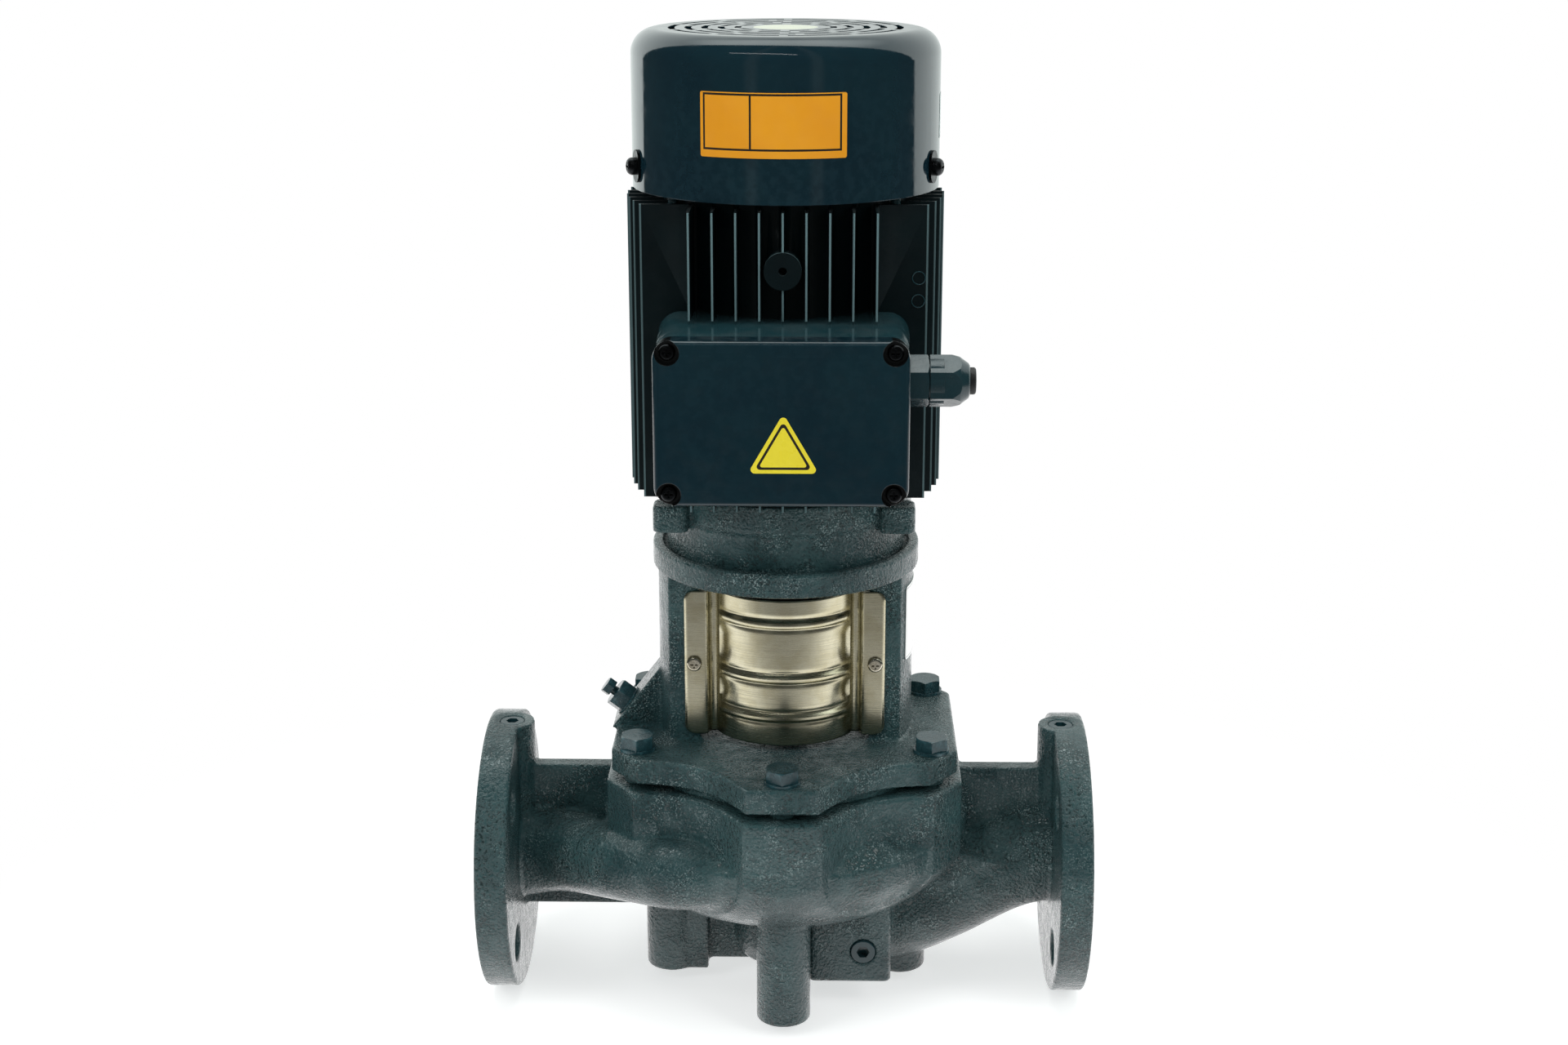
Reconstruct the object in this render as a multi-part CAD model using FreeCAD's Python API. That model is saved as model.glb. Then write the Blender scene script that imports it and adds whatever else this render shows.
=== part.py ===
import FreeCAD, Part
import math
import os

from FreeCAD import Vector as V

# Vertical in-line circulation pump: a cast volute casing between two pipe flanges,
# a motor stool with a split coupling, and a fan-cooled flange motor on top.
# Millimetres. Origin: centre of the four feet, on their lower plane. +Z runs up the
# shaft, +X points out of the suction flange, -Y is the side of the terminal box.

# Pipe flanges and ports
port_bore_r = 20.0
port_height = 68.0
face_to_face = 320.0
flange_r = 75.0
flange_t = 17.0
flange_bolt_circle_r = 55.0
flange_bolt_hole_r = 9.5
discharge_hole_extra = 0.16
flange_bolt_count = 4
gauge_boss_r = 12.0
gauge_plug_r = 6.58
gauge_plug_h = 8.5
gauge_drill_r = 2.5
plug_socket_af = 6.0
neck_web_t = 10.0
port_wall = 7.0

# Feet and suction elbow
foot_circle_r = 62.5
foot_r = 14.2
foot_hole_r = 3.4
foot_hole_depth = 8.5
elbow_ground_gap = 4.0
foot_web_t = 10.0
drain_block_w = 44.0
drain_block_reach = 43.0
drain_offset_x = 42.0
drain_block_low = 9.5
foot_heel_x = 42.3
foot_heel_w = 23.0
elbow_cheek_half_w = 26.0

# Impeller and volute
impeller_r = 62.0
impeller_outlet_w = 8.0
impeller_disc_t = 3.5
impeller_shroud_t = 3.0
impeller_neck_r = 28.0
impeller_eye_r = 23.0
impeller_neck_drop = 28.5
impeller_hub_r = 13.0
impeller_hub_h = 26.0
impeller_hub_stand = 6.0
vane_count = 6
vane_t = 3.0
vane_inlet_r = 20.0
vane_angle_deg = 29.0
volute_tongue_gap = 2.0
volute_start_r = 3.5
volute_exit_r = 12.5
volute_lean = 0.85
volute_start_deg = 135.0
volute_exit_deg = 450.0
outlet_rise = 18.5
bowl_wall = 11.0
bowl_depth = 32.5
rim_h = 23.0
rim_ledge_w = 13.0
rim_ledge_drop = 8.0
rim_rise = 39.5
lobe_skin = 0.8
lobe_swell = 5.6
wear_ring_h = 9.0
wear_ring_wall = 4.7
wear_gap = 0.3

# Cover plate and motor stool
cover_gap = 4.5
plate_t = 13.0
skirt_wall = 6.5
register_step = 9.0
register_depth = 10.0
shoulder_step = 6.0
cover_bolt_r = 5.0
cover_bolt_af = 16.0
cover_bolt_head_h = 6.4
cover_bolt_reach = 20.0
cover_washer_r = 9.4
cover_washer_t = 1.6
lobe_edge = 11.5
lobe_half_w = 18.2
scallop_r = 82.3
rim_overhang = 2.6
o_ring_r = 1.6
stool_r = 67.0
stool_wall = 7.0
stool_height = 100.0
stool_lip_w = 16.0
stool_lip_t = 6.0
window_half_depth = 30.0
stool_flange_t = 12.8
stool_flange_rim = 7.5
stool_seat_depth = 3.0
stool_web_t = 8.0

# Guard sheets over the coupling
guard_t = 1.0
guard_ear_out = 52.0
guard_channel_r = 3.2
guard_bulge_r = 34.4
guard_front = 47.5
guard_h = 78.5
guard_foot_gap = 3.6
guard_bead_r = 1.9
guard_screw_x = 47.0
guard_screw_h = 42.5
guard_screw_r = 2.0
guard_screw_head_r = 4.0
guard_screw_head_h = 2.2

# Vent on the cover
vent_face_x = 84.3
vent_face_rise = 9.9
vent_tilt_deg = 37.5
vent_gusset_t = 24.0
vent_plug_r = 6.0
vent_plug_af = 14.0
vent_plug_head_h = 8.0
vent_plug_depth = 9.0
vent_drill_r = 2.0
vent_screw_r = 2.5
vent_screw_af = 8.0
vent_screw_head_h = 4.5

# Shafts, seal and coupling
pump_shaft_r = 9.0
impeller_seat_r = 7.5
pump_shaft_thread_r = 6.0
impeller_nut_af = 18.0
impeller_nut_h = 10.0
impeller_washer_t = 2.2
key_w = 5.0
key_length = 14.0
seal_width = 17.5
seal_seat_t = 7.5
seal_face_w = 5.0
seal_ring_gap = 0.6
seal_spring_turns = 4
seal_wire_r = 0.9
coupling_r = 26.0
coupling_h = 66.0
coupling_split = 1.2
coupling_screw_r = 3.0
coupling_screw_head_r = 5.0
coupling_screw_x = 17.0
shaft_end_gap = 2.5

# Motor
motor_shaft_r = 9.5
motor_shaft_reach = 40.0
motor_face_r = 62.0
motor_spigot_r = 40.0
motor_spigot_h = 3.0
motor_bolt_circle_r = 50.0
motor_bolt_r = 3.0
motor_bolt_head_h = 5.0
motor_bolt_af = 10.0
shield_h = 36.5
shield_wall = 5.0
shield_spigot_h = 6.0
ear_x = 57.0
ear_y = 42.5
ear_w = 18.0
ear_h = 13.5
ear_drop = 4.0
tie_bolt_x = 54.0
tie_bolt_y = 41.0
tie_bolt_r = 2.5
tie_bolt_af = 8.0
tie_bolt_head_h = 4.0
frame_bore_r = 60.0
frame_wall = 4.5
frame_length = 152.0
fin_t = 2.4
fin_count = 9
front_fin_pitch = 11.2
side_fin_pitch = 11.9
front_fin_tip = 77.0
side_fin_tip = 79.5
corner_fin_tip = 70.0
fin_end_gap = 4.5
eye_boss_r = 9.0
eye_boss_hole_r = 2.1
eye_boss_hole_depth = 10.0
eye_boss_drop = 32.0
bearing_bore_r = 10.0
bearing_r = 23.5
bearing_w = 14.0
bearing_ball_r = 3.97
bearing_ball_count = 8
bearing_play = 0.05
stator_length = 80.0
stator_bore_r = 35.0
stator_slot_count = 24
stator_slot_w = 5.0
stator_slot_depth = 15.0
winding_overhang = 18.0
air_gap = 0.35
rotor_shaft_r = 13.0
end_ring_h = 7.0
oil_seal_r = 17.0
oil_seal_w = 7.0
fan_r = 62.0
fan_blade_count = 8
fan_blade_h = 20.0
fan_blade_t = 2.2
fan_disc_t = 3.0
fan_hub_r = 14.0
fan_seat_r = 8.5
cowl_r = 76.7
cowl_t = 1.3
cowl_height = 77.0
cowl_shoulder_r = 12.0
cowl_screw_deg = 20.0
cowl_screw_rise = 12.0
cowl_screw_r = 2.5
cowl_screw_head_r = 4.3
cowl_screw_head_h = 4.4
cowl_washer_w = 10.0
cowl_washer_h = 16.0
cowl_washer_t = 1.2
grille_ring_count = 5
grille_slots_per_ring = 10
grille_inner_r = 22.0
grille_slot_w = 3.4
grille_pitch = 8.2

# Terminal box on the motor
box_w = 120.0
box_h = 79.4
box_rise = 54.1
box_front = 115.0
box_lid_depth = 12.0
box_gasket_t = 1.5
box_wall = 4.0
box_corner_r = 9.0
box_pad_front = 68.0
box_skirt_front = 49.5
box_draft = 2.0
box_pad_half_w = 44.0
box_pad_half_h = 33.0
box_mount_x = 34.0
box_mount_z = 25.0
box_screw_side = 7.0
box_screw_top = 5.7
box_screw_r = 2.0
box_screw_head_r = 3.9
box_recess_r = 5.8
box_recess_depth = 4.0
wire_hole_r = 10.0
gland_y = 85.0
gland_rise = 15.0
gland_thread_r = 8.0
gland_bore_r = 6.5
gland_af = 22.0
gland_hex_h = 10.2
gland_spot_depth = 0.7
gland_nut_h = 19.0
gland_seal_reach = 3.0
cable_bore_r = 4.5
block_w = 58.0
block_h = 30.0
block_t = 12.0
stud_pitch = 18.0
stud_row_gap = 14.0
stud_r = 2.0
stud_reach = 9.0

# Clearances between mating pieces
running_gap = 0.05
bolt_clearance = 0.5
side_gap = 0.3
floor_gap = 2.0
shaft_hole_gap = 1.0

# Heights that follow from the sizes above
elbow_z = elbow_ground_gap + port_wall + port_bore_r
outlet_z = port_height + outlet_rise
impeller_back_z = outlet_z + impeller_outlet_w / 2 + impeller_disc_t
impeller_front_z = outlet_z - impeller_outlet_w / 2 - impeller_shroud_t
hub_top_z = impeller_back_z + impeller_hub_stand
hub_bottom_z = hub_top_z - impeller_hub_h
neck_bottom_z = outlet_z - impeller_neck_drop
wear_ring_z = neck_bottom_z - 1.0
wear_ring_top_z = wear_ring_z + wear_ring_h
casing_top_z = outlet_z + rim_rise
ledge_z = casing_top_z - rim_h
plate_z = casing_top_z + cover_gap
plate_top_z = plate_z + plate_t
register_z = casing_top_z - register_depth
skirt_z = impeller_back_z + floor_gap
motor_face_z = plate_top_z + stool_height
stool_top_z = motor_face_z + stool_seat_depth
seal_z = hub_top_z + 0.5
seal_seat_z = seal_z + seal_width - seal_seat_t + 5.0
window_top_z = stool_top_z - stool_flange_t
coupling_z = motor_face_z - stool_web_t - coupling_h
frame_z = motor_face_z + shield_h
frame_top_z = frame_z + frame_length
fin_low_z = frame_z + 1.0
fin_high_z = frame_top_z - fin_end_gap
lower_bearing_z = frame_z - ear_drop - bearing_w
upper_bearing_z = frame_top_z + 1.5
stator_z = frame_z + (frame_length - stator_length) / 2 - 11.0
cowl_z = frame_top_z - 1.0
cowl_top_z = cowl_z + cowl_height
box_z = frame_z + box_rise
fan_z = upper_bearing_z + bearing_w + 9.0
shaft_top_z = fan_z + fan_disc_t + fan_blade_h + 5.0

# Radii that follow from the sizes above
base_circle_r = impeller_r + volute_tongue_gap
bowl_r = base_circle_r + (1 + volute_lean) * volute_exit_r + bowl_wall
skirt_bore_r = impeller_r + 3.0
skirt_r = skirt_bore_r - side_gap
register_r = skirt_bore_r + register_step
shoulder_r = register_r + shoulder_step
cover_bolt_circle_r = shoulder_r + 8.0
wear_ring_bore_r = impeller_neck_r + wear_gap
wear_ring_r = wear_ring_bore_r + wear_ring_wall
frame_r = frame_bore_r + frame_wall
stool_flange_r = motor_face_r + stool_flange_rim
bearing_pitch_r = (bearing_bore_r + bearing_r) / 2
seal_housing_r = pump_shaft_r + 8.5
port_x = face_to_face / 2
neck_x = port_x - flange_t


def cylinder(radius, low, high):
    return Part.makeCylinder(radius, high - low, V(0, 0, low))


def ring(outer, inner, low, high):
    return cylinder(outer, low, high).cut(cylinder(inner, low - 1, high + 1))


def rod(radius, start, end):
    return Part.makeCylinder(radius, (end - start).Length, start, end - start)


def box(x0, x1, y0, y1, z0, z1):
    return Part.makeBox(x1 - x0, y1 - y0, z1 - z0, V(x0, y0, z0))


def revolved(points):
    """Full turn about Z of a closed outline of (radius, height) points."""
    corners = [V(r, 0, z) for r, z in points]
    face = Part.Face(Part.makePolygon(corners + corners[:1]))
    return face.revolve(V(0, 0, 0), V(0, 0, 1), 360)


def prism(points, low, high):
    """Upright prism over a closed outline of (x, y) points."""
    corners = [V(x, y, low) for x, y in points]
    return Part.Face(Part.makePolygon(corners + corners[:1])).extrude(V(0, 0, high - low))


def hexagon(across_flats, low, high):
    corner_r = across_flats / math.sqrt(3)
    angles = [math.radians(60 * i) for i in range(6)]
    return prism([(corner_r * math.cos(a), corner_r * math.sin(a)) for a in angles], low, high)


def round_box(width, depth, corner, low, high):
    """Upright block centred on Z with rounded vertical edges."""
    block = box(-width / 2, width / 2, -depth / 2, depth / 2, low, high)
    upright = [e for e in block.Edges if abs(e.tangentAt(e.FirstParameter).z) > 0.9]
    return block.makeFillet(corner, upright)


def bolt_head(across_flats, low, high):
    """Hexagon head, its upper corners turned off by a cone."""
    crown = revolved([
        (0, low),
        (across_flats, low),
        (across_flats * 0.72, high - across_flats * 0.12),
        (across_flats * 0.5, high),
        (0, high),
    ])
    return hexagon(across_flats, low, high).common(crown)


def turned(shape, degrees):
    copy = shape.copy()
    copy.rotate(V(0, 0, 0), V(0, 0, 1), degrees)
    return copy


def moved(shape, x, y, z):
    copy = shape.copy()
    copy.translate(V(x, y, z))
    return copy


def pointed(shape, origin, direction):
    """A shape built along +Z from the origin, laid along a direction from a point."""
    copy = shape.copy()
    turn = FreeCAD.Rotation(V(0, 0, 1), direction)
    copy.Placement = FreeCAD.Placement(origin, turn).multiply(copy.Placement)
    return copy


def mirrored_x(shape):
    return shape.mirror(V(0, 0, 0), V(1, 0, 0))


def mirrored_y(shape):
    return shape.mirror(V(0, 0, 0), V(0, 1, 0))


def around(shape, angles):
    return [turned(shape, a) for a in angles]


def even_angles(count, start=0.0):
    return [start + 360.0 * i / count for i in range(count)]


def group(shapes):
    return Part.makeCompound(shapes)


def smooth(points, start_tangent=None, end_tangent=None):
    """One spline edge through a few points, with optional end directions."""
    curve = Part.BSplineCurve()
    if start_tangent is None:
        curve.interpolate(Points=points)
    else:
        curve.interpolate(Points=points, InitialTangent=start_tangent, FinalTangent=end_tangent)
    return curve.toShape()


def lines(points):
    return [Part.makeLine(a, b) for a, b in zip(points[:-1], points[1:])]


def ease(t):
    return t * t * (3 - 2 * t)


def section(centre, direction, radius):
    """Circle square to a direction, always started on its level diameter."""
    ahead = V(direction).normalize()
    side = V(0, 0, 1).cross(ahead).normalize()
    up = ahead.cross(side)
    circle = Part.Wire(Part.makeCircle(radius))
    circle.Placement = FreeCAD.Placement(centre, FreeCAD.Rotation(side, up, ahead, "ZXY"))
    return circle


def swept(centres, radii, start_direction, end_direction):
    """Solid lofted through circles along a line of centres."""
    directions = [start_direction]
    for before, after in zip(centres[:-2], centres[2:]):
        directions.append(after - before)
    directions.append(end_direction)
    circles = [section(c, d, r) for c, d, r in zip(centres, directions, radii)]
    return Part.makeLoft(circles, True)


def cover_outline(offset):
    """Scalloped six-lobe outline shared by the cover plate and the casing rim."""
    bolt = cover_bolt_circle_r
    front = bolt + lobe_edge + offset
    half = lobe_half_w + offset * 0.4
    out = V(math.cos(math.radians(-30)), math.sin(math.radians(-30)), 0)
    along = V(0.5, math.cos(math.radians(30)), 0)
    scallop = math.radians(33)
    lobe = V(half, -front, 0)
    dip = V(math.sin(scallop), -math.cos(scallop), 0) * (scallop_r + offset)
    tab = out * (front - 3.5) - along * (half - 3.2)
    side = out * (front - 0.4) + along * (half - 9.8)
    curve = [lobe, dip, tab]
    quarter = [
        smooth(curve, V(0.5, 0.86, 0), V(1, 0.06, 0)),
        Part.makeLine(tab, side),
    ]
    right = quarter + [mirrored_y(e) for e in quarter]
    right.append(Part.makeLine(side, V(side.x, -side.y, 0)))
    left = [mirrored_x(e) for e in right]
    caps = [
        Part.makeLine(V(-half, -front, 0), lobe),
        Part.makeLine(V(-half, front, 0), V(half, front, 0)),
    ]
    return Part.Wire(Part.__sortEdges__(right + left + caps))


def cover_prism(offset, low, high):
    outline = cover_outline(offset)
    outline.translate(V(0, 0, low))
    return Part.Face(outline).extrude(V(0, 0, high - low))


def softened(prism_shape, corner, edge):
    """Rounds the upright corners of a prism and then the rim of its top face."""
    upright = [e for e in prism_shape.Edges if abs(e.tangentAt(e.FirstParameter).z) > 0.9]
    shape = prism_shape.makeFillet(corner, upright)
    top = max(v.Z for v in shape.Vertexes)
    rim = [e for e in shape.Edges if min(v.Z for v in e.Vertexes) > top - 0.01]
    return shape.makeFillet(edge, rim)


def cover_bolt_angles():
    return even_angles(6, 30)


def suction_solid(radius, reach):
    """Suction passage or its wall, from the flange down to under the impeller eye."""
    low_x = 45.0
    stations = 6
    centres = [V(reach, 0, port_height)]
    for i in range(stations):
        t = i / (stations - 1)
        x = neck_x - (neck_x - low_x) * t
        centres.append(V(x, 0, port_height - (port_height - elbow_z) * ease(t)))
    centres.append(V(0, 0, elbow_z))
    return swept(centres, [radius] * len(centres), V(-1, 0, 0), V(-1, 0, 0))


def well_outline(extra):
    """Lower part of the outline of the round well where the elbow turns up."""
    radius = port_bore_r + 1.2 + extra
    low = elbow_z - port_bore_r + 0.8 - extra
    shoulder = [(radius * 0.6, low), (radius * 0.9, low + radius * 0.18), (radius, low + radius * 0.5)]
    return [(0, low)] + shoulder


def spiral_line():
    """Centre, direction and radius of the volute passage at stations up to its throat."""
    line = []
    steps = 10
    for i in range(steps):
        t = i / steps
        angle = math.radians(volute_start_deg + (volute_exit_deg - volute_start_deg) * t)
        radius = volute_start_r + (volute_exit_r - volute_start_r) * t
        reach = base_circle_r + volute_lean * radius
        centre = V(reach * math.cos(angle), reach * math.sin(angle), outlet_z)
        line.append((centre, V(-math.sin(angle), math.cos(angle), 0), radius))
    return line


def diffuser_line(extra, reach):
    """Centre, direction and radius from the volute throat to the discharge flange."""
    throat_y = base_circle_r + volute_lean * volute_exit_r
    turn_x = -45.0
    throat_wall = 0.75 * extra
    centres = [V(0, throat_y, outlet_z)]
    radii = [volute_exit_r + throat_wall]
    stations = 6
    for i in range(stations):
        t = i / (stations - 1)
        x = turn_x + (-neck_x - turn_x) * t
        centres.append(V(x, throat_y * (1 - ease(t)), outlet_z - outlet_rise * ease(t)))
        bore = volute_exit_r + (port_bore_r - volute_exit_r) * t ** 3
        radii.append(bore + throat_wall + (extra - throat_wall) * t)
    centres.append(V(-reach, 0, port_height))
    radii.append(port_bore_r + extra)
    middle = [after - before for before, after in zip(centres[:-2], centres[2:])]
    directions = [V(-1, 0, 0)] + middle + [V(-1, 0, 0)]
    return list(zip(centres, directions, radii))


def passage(line):
    """Solid through the circles of a line, laid out behind and mirrored to the front."""
    circles = [section(centre, direction, radius) for centre, direction, radius in line]
    return mirrored_y(Part.makeLoft(circles, True))


def bowl(skin, swell):
    """Round casing body under the ledge, by turning its side profile.

    The skin is added all round and the swell grows from the foot to the crisp edge.
    """
    radius = bowl_r + skin
    low = outlet_z - bowl_depth
    inner = radius - 40.0
    edge = V(radius + swell, 0, ledge_z - rim_ledge_drop)
    top = V(radius - rim_ledge_w, 0, ledge_z)
    flank = smooth(
        [
            V(inner, 0, low),
            V(radius - 14.0, 0, low + 10.5),
            V(radius - 3.6 + swell / 3, 0, low + 24.0),
            edge,
        ],
        V(1, 0, 0),
        V(swell / 20, 0, 1),
    )
    core = V(top.x - 7.0, 0, top.z + 6.0)
    shell = lines([edge, top, core, V(0, 0, core.z), V(0, 0, low), V(inner, 0, low)])
    face = Part.Face(Part.Wire([flank] + shell))
    return face.revolve(V(0, 0, 0), V(0, 0, 1), 360)


def casing_rim():
    """Scalloped rim with its lobes running down into the bowl."""
    joint_z = ledge_z - rim_ledge_drop - 1.0
    upper = softened(cover_prism(rim_overhang, joint_z, casing_top_z), 3.0, 1.5)
    low = outlet_z - bowl_depth + 1.0
    lobes = cover_prism(rim_overhang, low, joint_z + 0.5).common(bowl(lobe_skin, lobe_swell))
    return upper.fuse(lobes)


def pipe_flange():
    """Round flange on the suction side, with its gauge boss on top."""
    disc = rod(flange_r, V(neck_x, 0, port_height), V(port_x, 0, port_height))
    disc = disc.makeFillet(1.5, [e for e in disc.Edges if e.Length > 6 * flange_r])
    boss = moved(cylinder(gauge_boss_r, port_height, gauge_seat_z()), gauge_x(), 0, 0)
    return disc.fuse(boss)


def gauge_seat_z():
    return port_height + flange_r - 1.2


def gauge_x():
    return port_x - gauge_boss_r - 0.6


def casing_feet():
    """Four round feet with the webs that tie them to the elbow."""
    spots = [(foot_circle_r, 0), (-foot_circle_r, 0), (0, foot_circle_r), (0, -foot_circle_r)]
    foot = cylinder(foot_r, 0, outlet_z - bowl_depth + 12.0)
    foot = foot.makeFillet(1.5, [e for e in foot.Edges if e.BoundBox.ZMax < 0.01])
    feet = [moved(foot, x, y, 0) for x, y in spots]
    top = outlet_z - bowl_depth + 4.0
    heel = box(foot_heel_x, foot_circle_r, -foot_heel_w / 2, foot_heel_w / 2, 0.5, top + 1.5)
    feet += around(heel, even_angles(4))
    half = foot_web_t / 2
    feet.append(box(-foot_circle_r, 0, -half, half, elbow_ground_gap, top))
    feet.append(box(-half, half, -foot_circle_r, foot_circle_r, elbow_ground_gap, top))
    return feet


def drain_block():
    """Square block at the side of the elbow that carries the drain plug."""
    x0 = drain_offset_x - drain_block_w * 0.66
    top = outlet_z - bowl_depth + 3.0
    block = box(x0, x0 + drain_block_w, -drain_block_reach, 0, drain_block_low, top)
    front = [
        e
        for e in block.Edges
        if e.BoundBox.YMax < -drain_block_reach + 0.01 and e.BoundBox.ZLength > 1
    ]
    return block.makeFillet(4.0, front)


def elbow_cheek():
    """Flat-sided shoulder along the upper half of the suction elbow."""
    outline = [(50.0, elbow_z + 1.0), (50.0, port_height + 12.0), (94.0, port_height + 9.0)]
    outline += [(neck_x - 5.0, port_height + 0.5), (neck_x - 5.0, port_height - 2.0)]
    corners = [V(x, elbow_cheek_half_w, z) for x, z in outline]
    side = Part.Face(Part.makePolygon(corners + corners[:1]))
    return side.extrude(V(0, -2 * elbow_cheek_half_w, 0))


def neck_webs():
    """Upright webs above both necks and below the discharge neck."""
    half = neck_web_t / 2
    top = casing_top_z - 8.0
    inner_x = bowl_r - 20.0
    return [
        box(inner_x, neck_x + 1, -half, half, port_height, top),
        box(-neck_x - 1, -inner_x, -half, half, port_height - port_bore_r - 11.5, top),
    ]


def chamber_void():
    """Impeller chamber, eye, wear ring seat and the bores for the cover."""
    well = well_outline(0)
    return revolved(well + [
        (well[-1][0], elbow_z + 6.0),
        (impeller_eye_r - 1.0, wear_ring_z),
        (wear_ring_r, wear_ring_z),
        (wear_ring_r, wear_ring_top_z),
        (base_circle_r + 2.0, impeller_front_z - 1.0),
        (base_circle_r + 2.0, impeller_back_z + 0.5),
        (skirt_bore_r, impeller_back_z + 0.5),
        (skirt_bore_r, register_z),
        (register_r, register_z),
        (register_r, casing_top_z + 1),
        (0, casing_top_z + 1),
    ])


def volute_casing():
    """Casing in one casting: bowl, rim, necks, flanges, elbow and feet."""
    right = pipe_flange()
    neck_end = port_x - flange_t / 2
    solids = [bowl(0, 0), casing_rim(), suction_solid(port_bore_r + port_wall, neck_end)]
    solids += [passage(diffuser_line(port_wall, neck_end)), right, mirrored_x(right), drain_block()]
    solids += [elbow_cheek()] + neck_webs() + casing_feet()
    well = well_outline(port_wall)
    well_top = outlet_z - bowl_depth + 6.0
    solids.append(revolved(well + [(well[-1][0], well_top), (0, well_top)]))
    body = solids[0].fuse(solids[1:])
    void_end = port_x + 2
    voids = [chamber_void(), suction_solid(port_bore_r, void_end)]
    voids.append(passage(spiral_line() + diffuser_line(0, void_end)))
    for sign in (1, -1):
        voids += flange_holes(sign)
        seat = gauge_seat_z()
        spot = cylinder(gauge_plug_r + 2.4, seat, seat + 4)
        tap = cylinder(gauge_plug_r, seat - gauge_plug_h - 1.5, seat + 1)
        drill = cylinder(gauge_drill_r, port_height, seat)
        voids += [moved(void, sign * gauge_x(), 0, 0) for void in (spot, tap, drill)]
    bolt_bottom = casing_top_z - cover_bolt_reach - 2.0
    hole = moved(cylinder(cover_bolt_r, bolt_bottom, casing_top_z + 1), cover_bolt_circle_r, 0, 0)
    voids += around(hole, cover_bolt_angles())
    tap = moved(cylinder(foot_hole_r, -1, foot_hole_depth), foot_circle_r, 0, 0)
    voids += around(tap, even_angles(4))
    face = V(drain_offset_x, -drain_block_reach, drain_z())
    voids.append(rod(gauge_plug_r, face + V(0, -1, 0), face + V(0, gauge_plug_h + 1.5, 0)))
    voids.append(rod(gauge_drill_r, face, V(drain_offset_x, 0, elbow_z)))
    return body.cut(voids).removeSplitter()


def drain_z():
    return elbow_z - 3.5


def flange_holes(sign):
    """Clearance holes of one pipe flange, set astride its centre lines.

    The discharge flange is drilled in a set-up of its own and comes out a touch wider.
    """
    radius = flange_bolt_hole_r
    if sign < 0:
        radius += discharge_hole_extra
    holes = []
    for angle in even_angles(flange_bolt_count, 180.0 / flange_bolt_count):
        y = flange_bolt_circle_r * math.cos(math.radians(angle))
        z = port_height + flange_bolt_circle_r * math.sin(math.radians(angle))
        holes.append(rod(radius, V(sign * (neck_x - 12.0), y, z), V(sign * (port_x + 1), y, z)))
    return holes


def socket_plug():
    """Pipe plug with an inner hexagon, its mouth at the origin and body below."""
    body = cylinder(gauge_plug_r, -gauge_plug_h, 0)
    body = body.makeFillet(0.7, [e for e in body.Edges if e.BoundBox.ZMin > -0.01 and e.Length > 20])
    return body.cut(hexagon(plug_socket_af, -gauge_plug_h * 0.55, 1))


def pipe_plugs():
    """The gauge plug of each flange and the drain plug of the elbow."""
    plug = socket_plug()
    top = gauge_seat_z() - 0.3
    drain = pointed(plug, V(drain_offset_x, -drain_block_reach - 0.3, drain_z()), V(0, -1, 0))
    return group([moved(plug, gauge_x(), 0, top), moved(plug, -gauge_x(), 0, top), drain])


def casing_wear_ring():
    return ring(wear_ring_r, wear_ring_bore_r, wear_ring_z, wear_ring_top_z)


def casing_o_ring():
    """Seal ring in the register groove, bearing on the casing bore."""
    return Part.makeTorus(register_r - o_ring_r, o_ring_r, V(0, 0, o_ring_z()))


def o_ring_z():
    return (register_z + casing_top_z) / 2


def vent_axis():
    tilt = math.radians(vent_tilt_deg)
    return V(-math.cos(tilt), 0, math.sin(tilt))


def vent_face():
    return V(-vent_face_x, 0, plate_top_z + vent_face_rise)


def vent_gusset():
    """Wedge between stool wall and plate edge with the inclined vent face."""
    axis = vent_axis()
    down = V(axis.z, 0, -axis.x) * -1
    face = vent_face()
    upper = face + down * -1 * ((stool_r - 1.0 - face.x * -1) / down.x)
    lower = face + down * ((plate_top_z - 1.0 - face.z) / down.z)
    corners = [
        V(-stool_r + 4.0, 0, upper.z),
        V(upper.x, 0, upper.z),
        V(lower.x, 0, lower.z),
        V(-stool_r + 4.0, 0, lower.z),
    ]
    half = vent_gusset_t / 2
    outline = Part.Face(Part.makePolygon(corners + corners[:1]))
    outline.translate(V(0, -half, 0))
    return outline.extrude(V(0, vent_gusset_t, 0))


def stool_leg():
    """One of the two upright walls beside the windows, with lips for the guards."""
    low = plate_top_z - 1.0
    high = window_top_z + 1.0
    lip_in = stool_r * math.cos(math.asin(window_half_depth / stool_r)) - stool_lip_w
    wall = ring(stool_r, stool_r - stool_wall, low, high)
    keep = box(0, stool_r + 1, -window_half_depth, window_half_depth, low, high)
    lip = box(lip_in, stool_r, window_half_depth - stool_lip_t, window_half_depth, low, high)
    lips = lip.fuse(mirrored_y(lip)).common(cylinder(stool_r, low, high))
    return wall.common(keep).fuse(lips)


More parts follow.
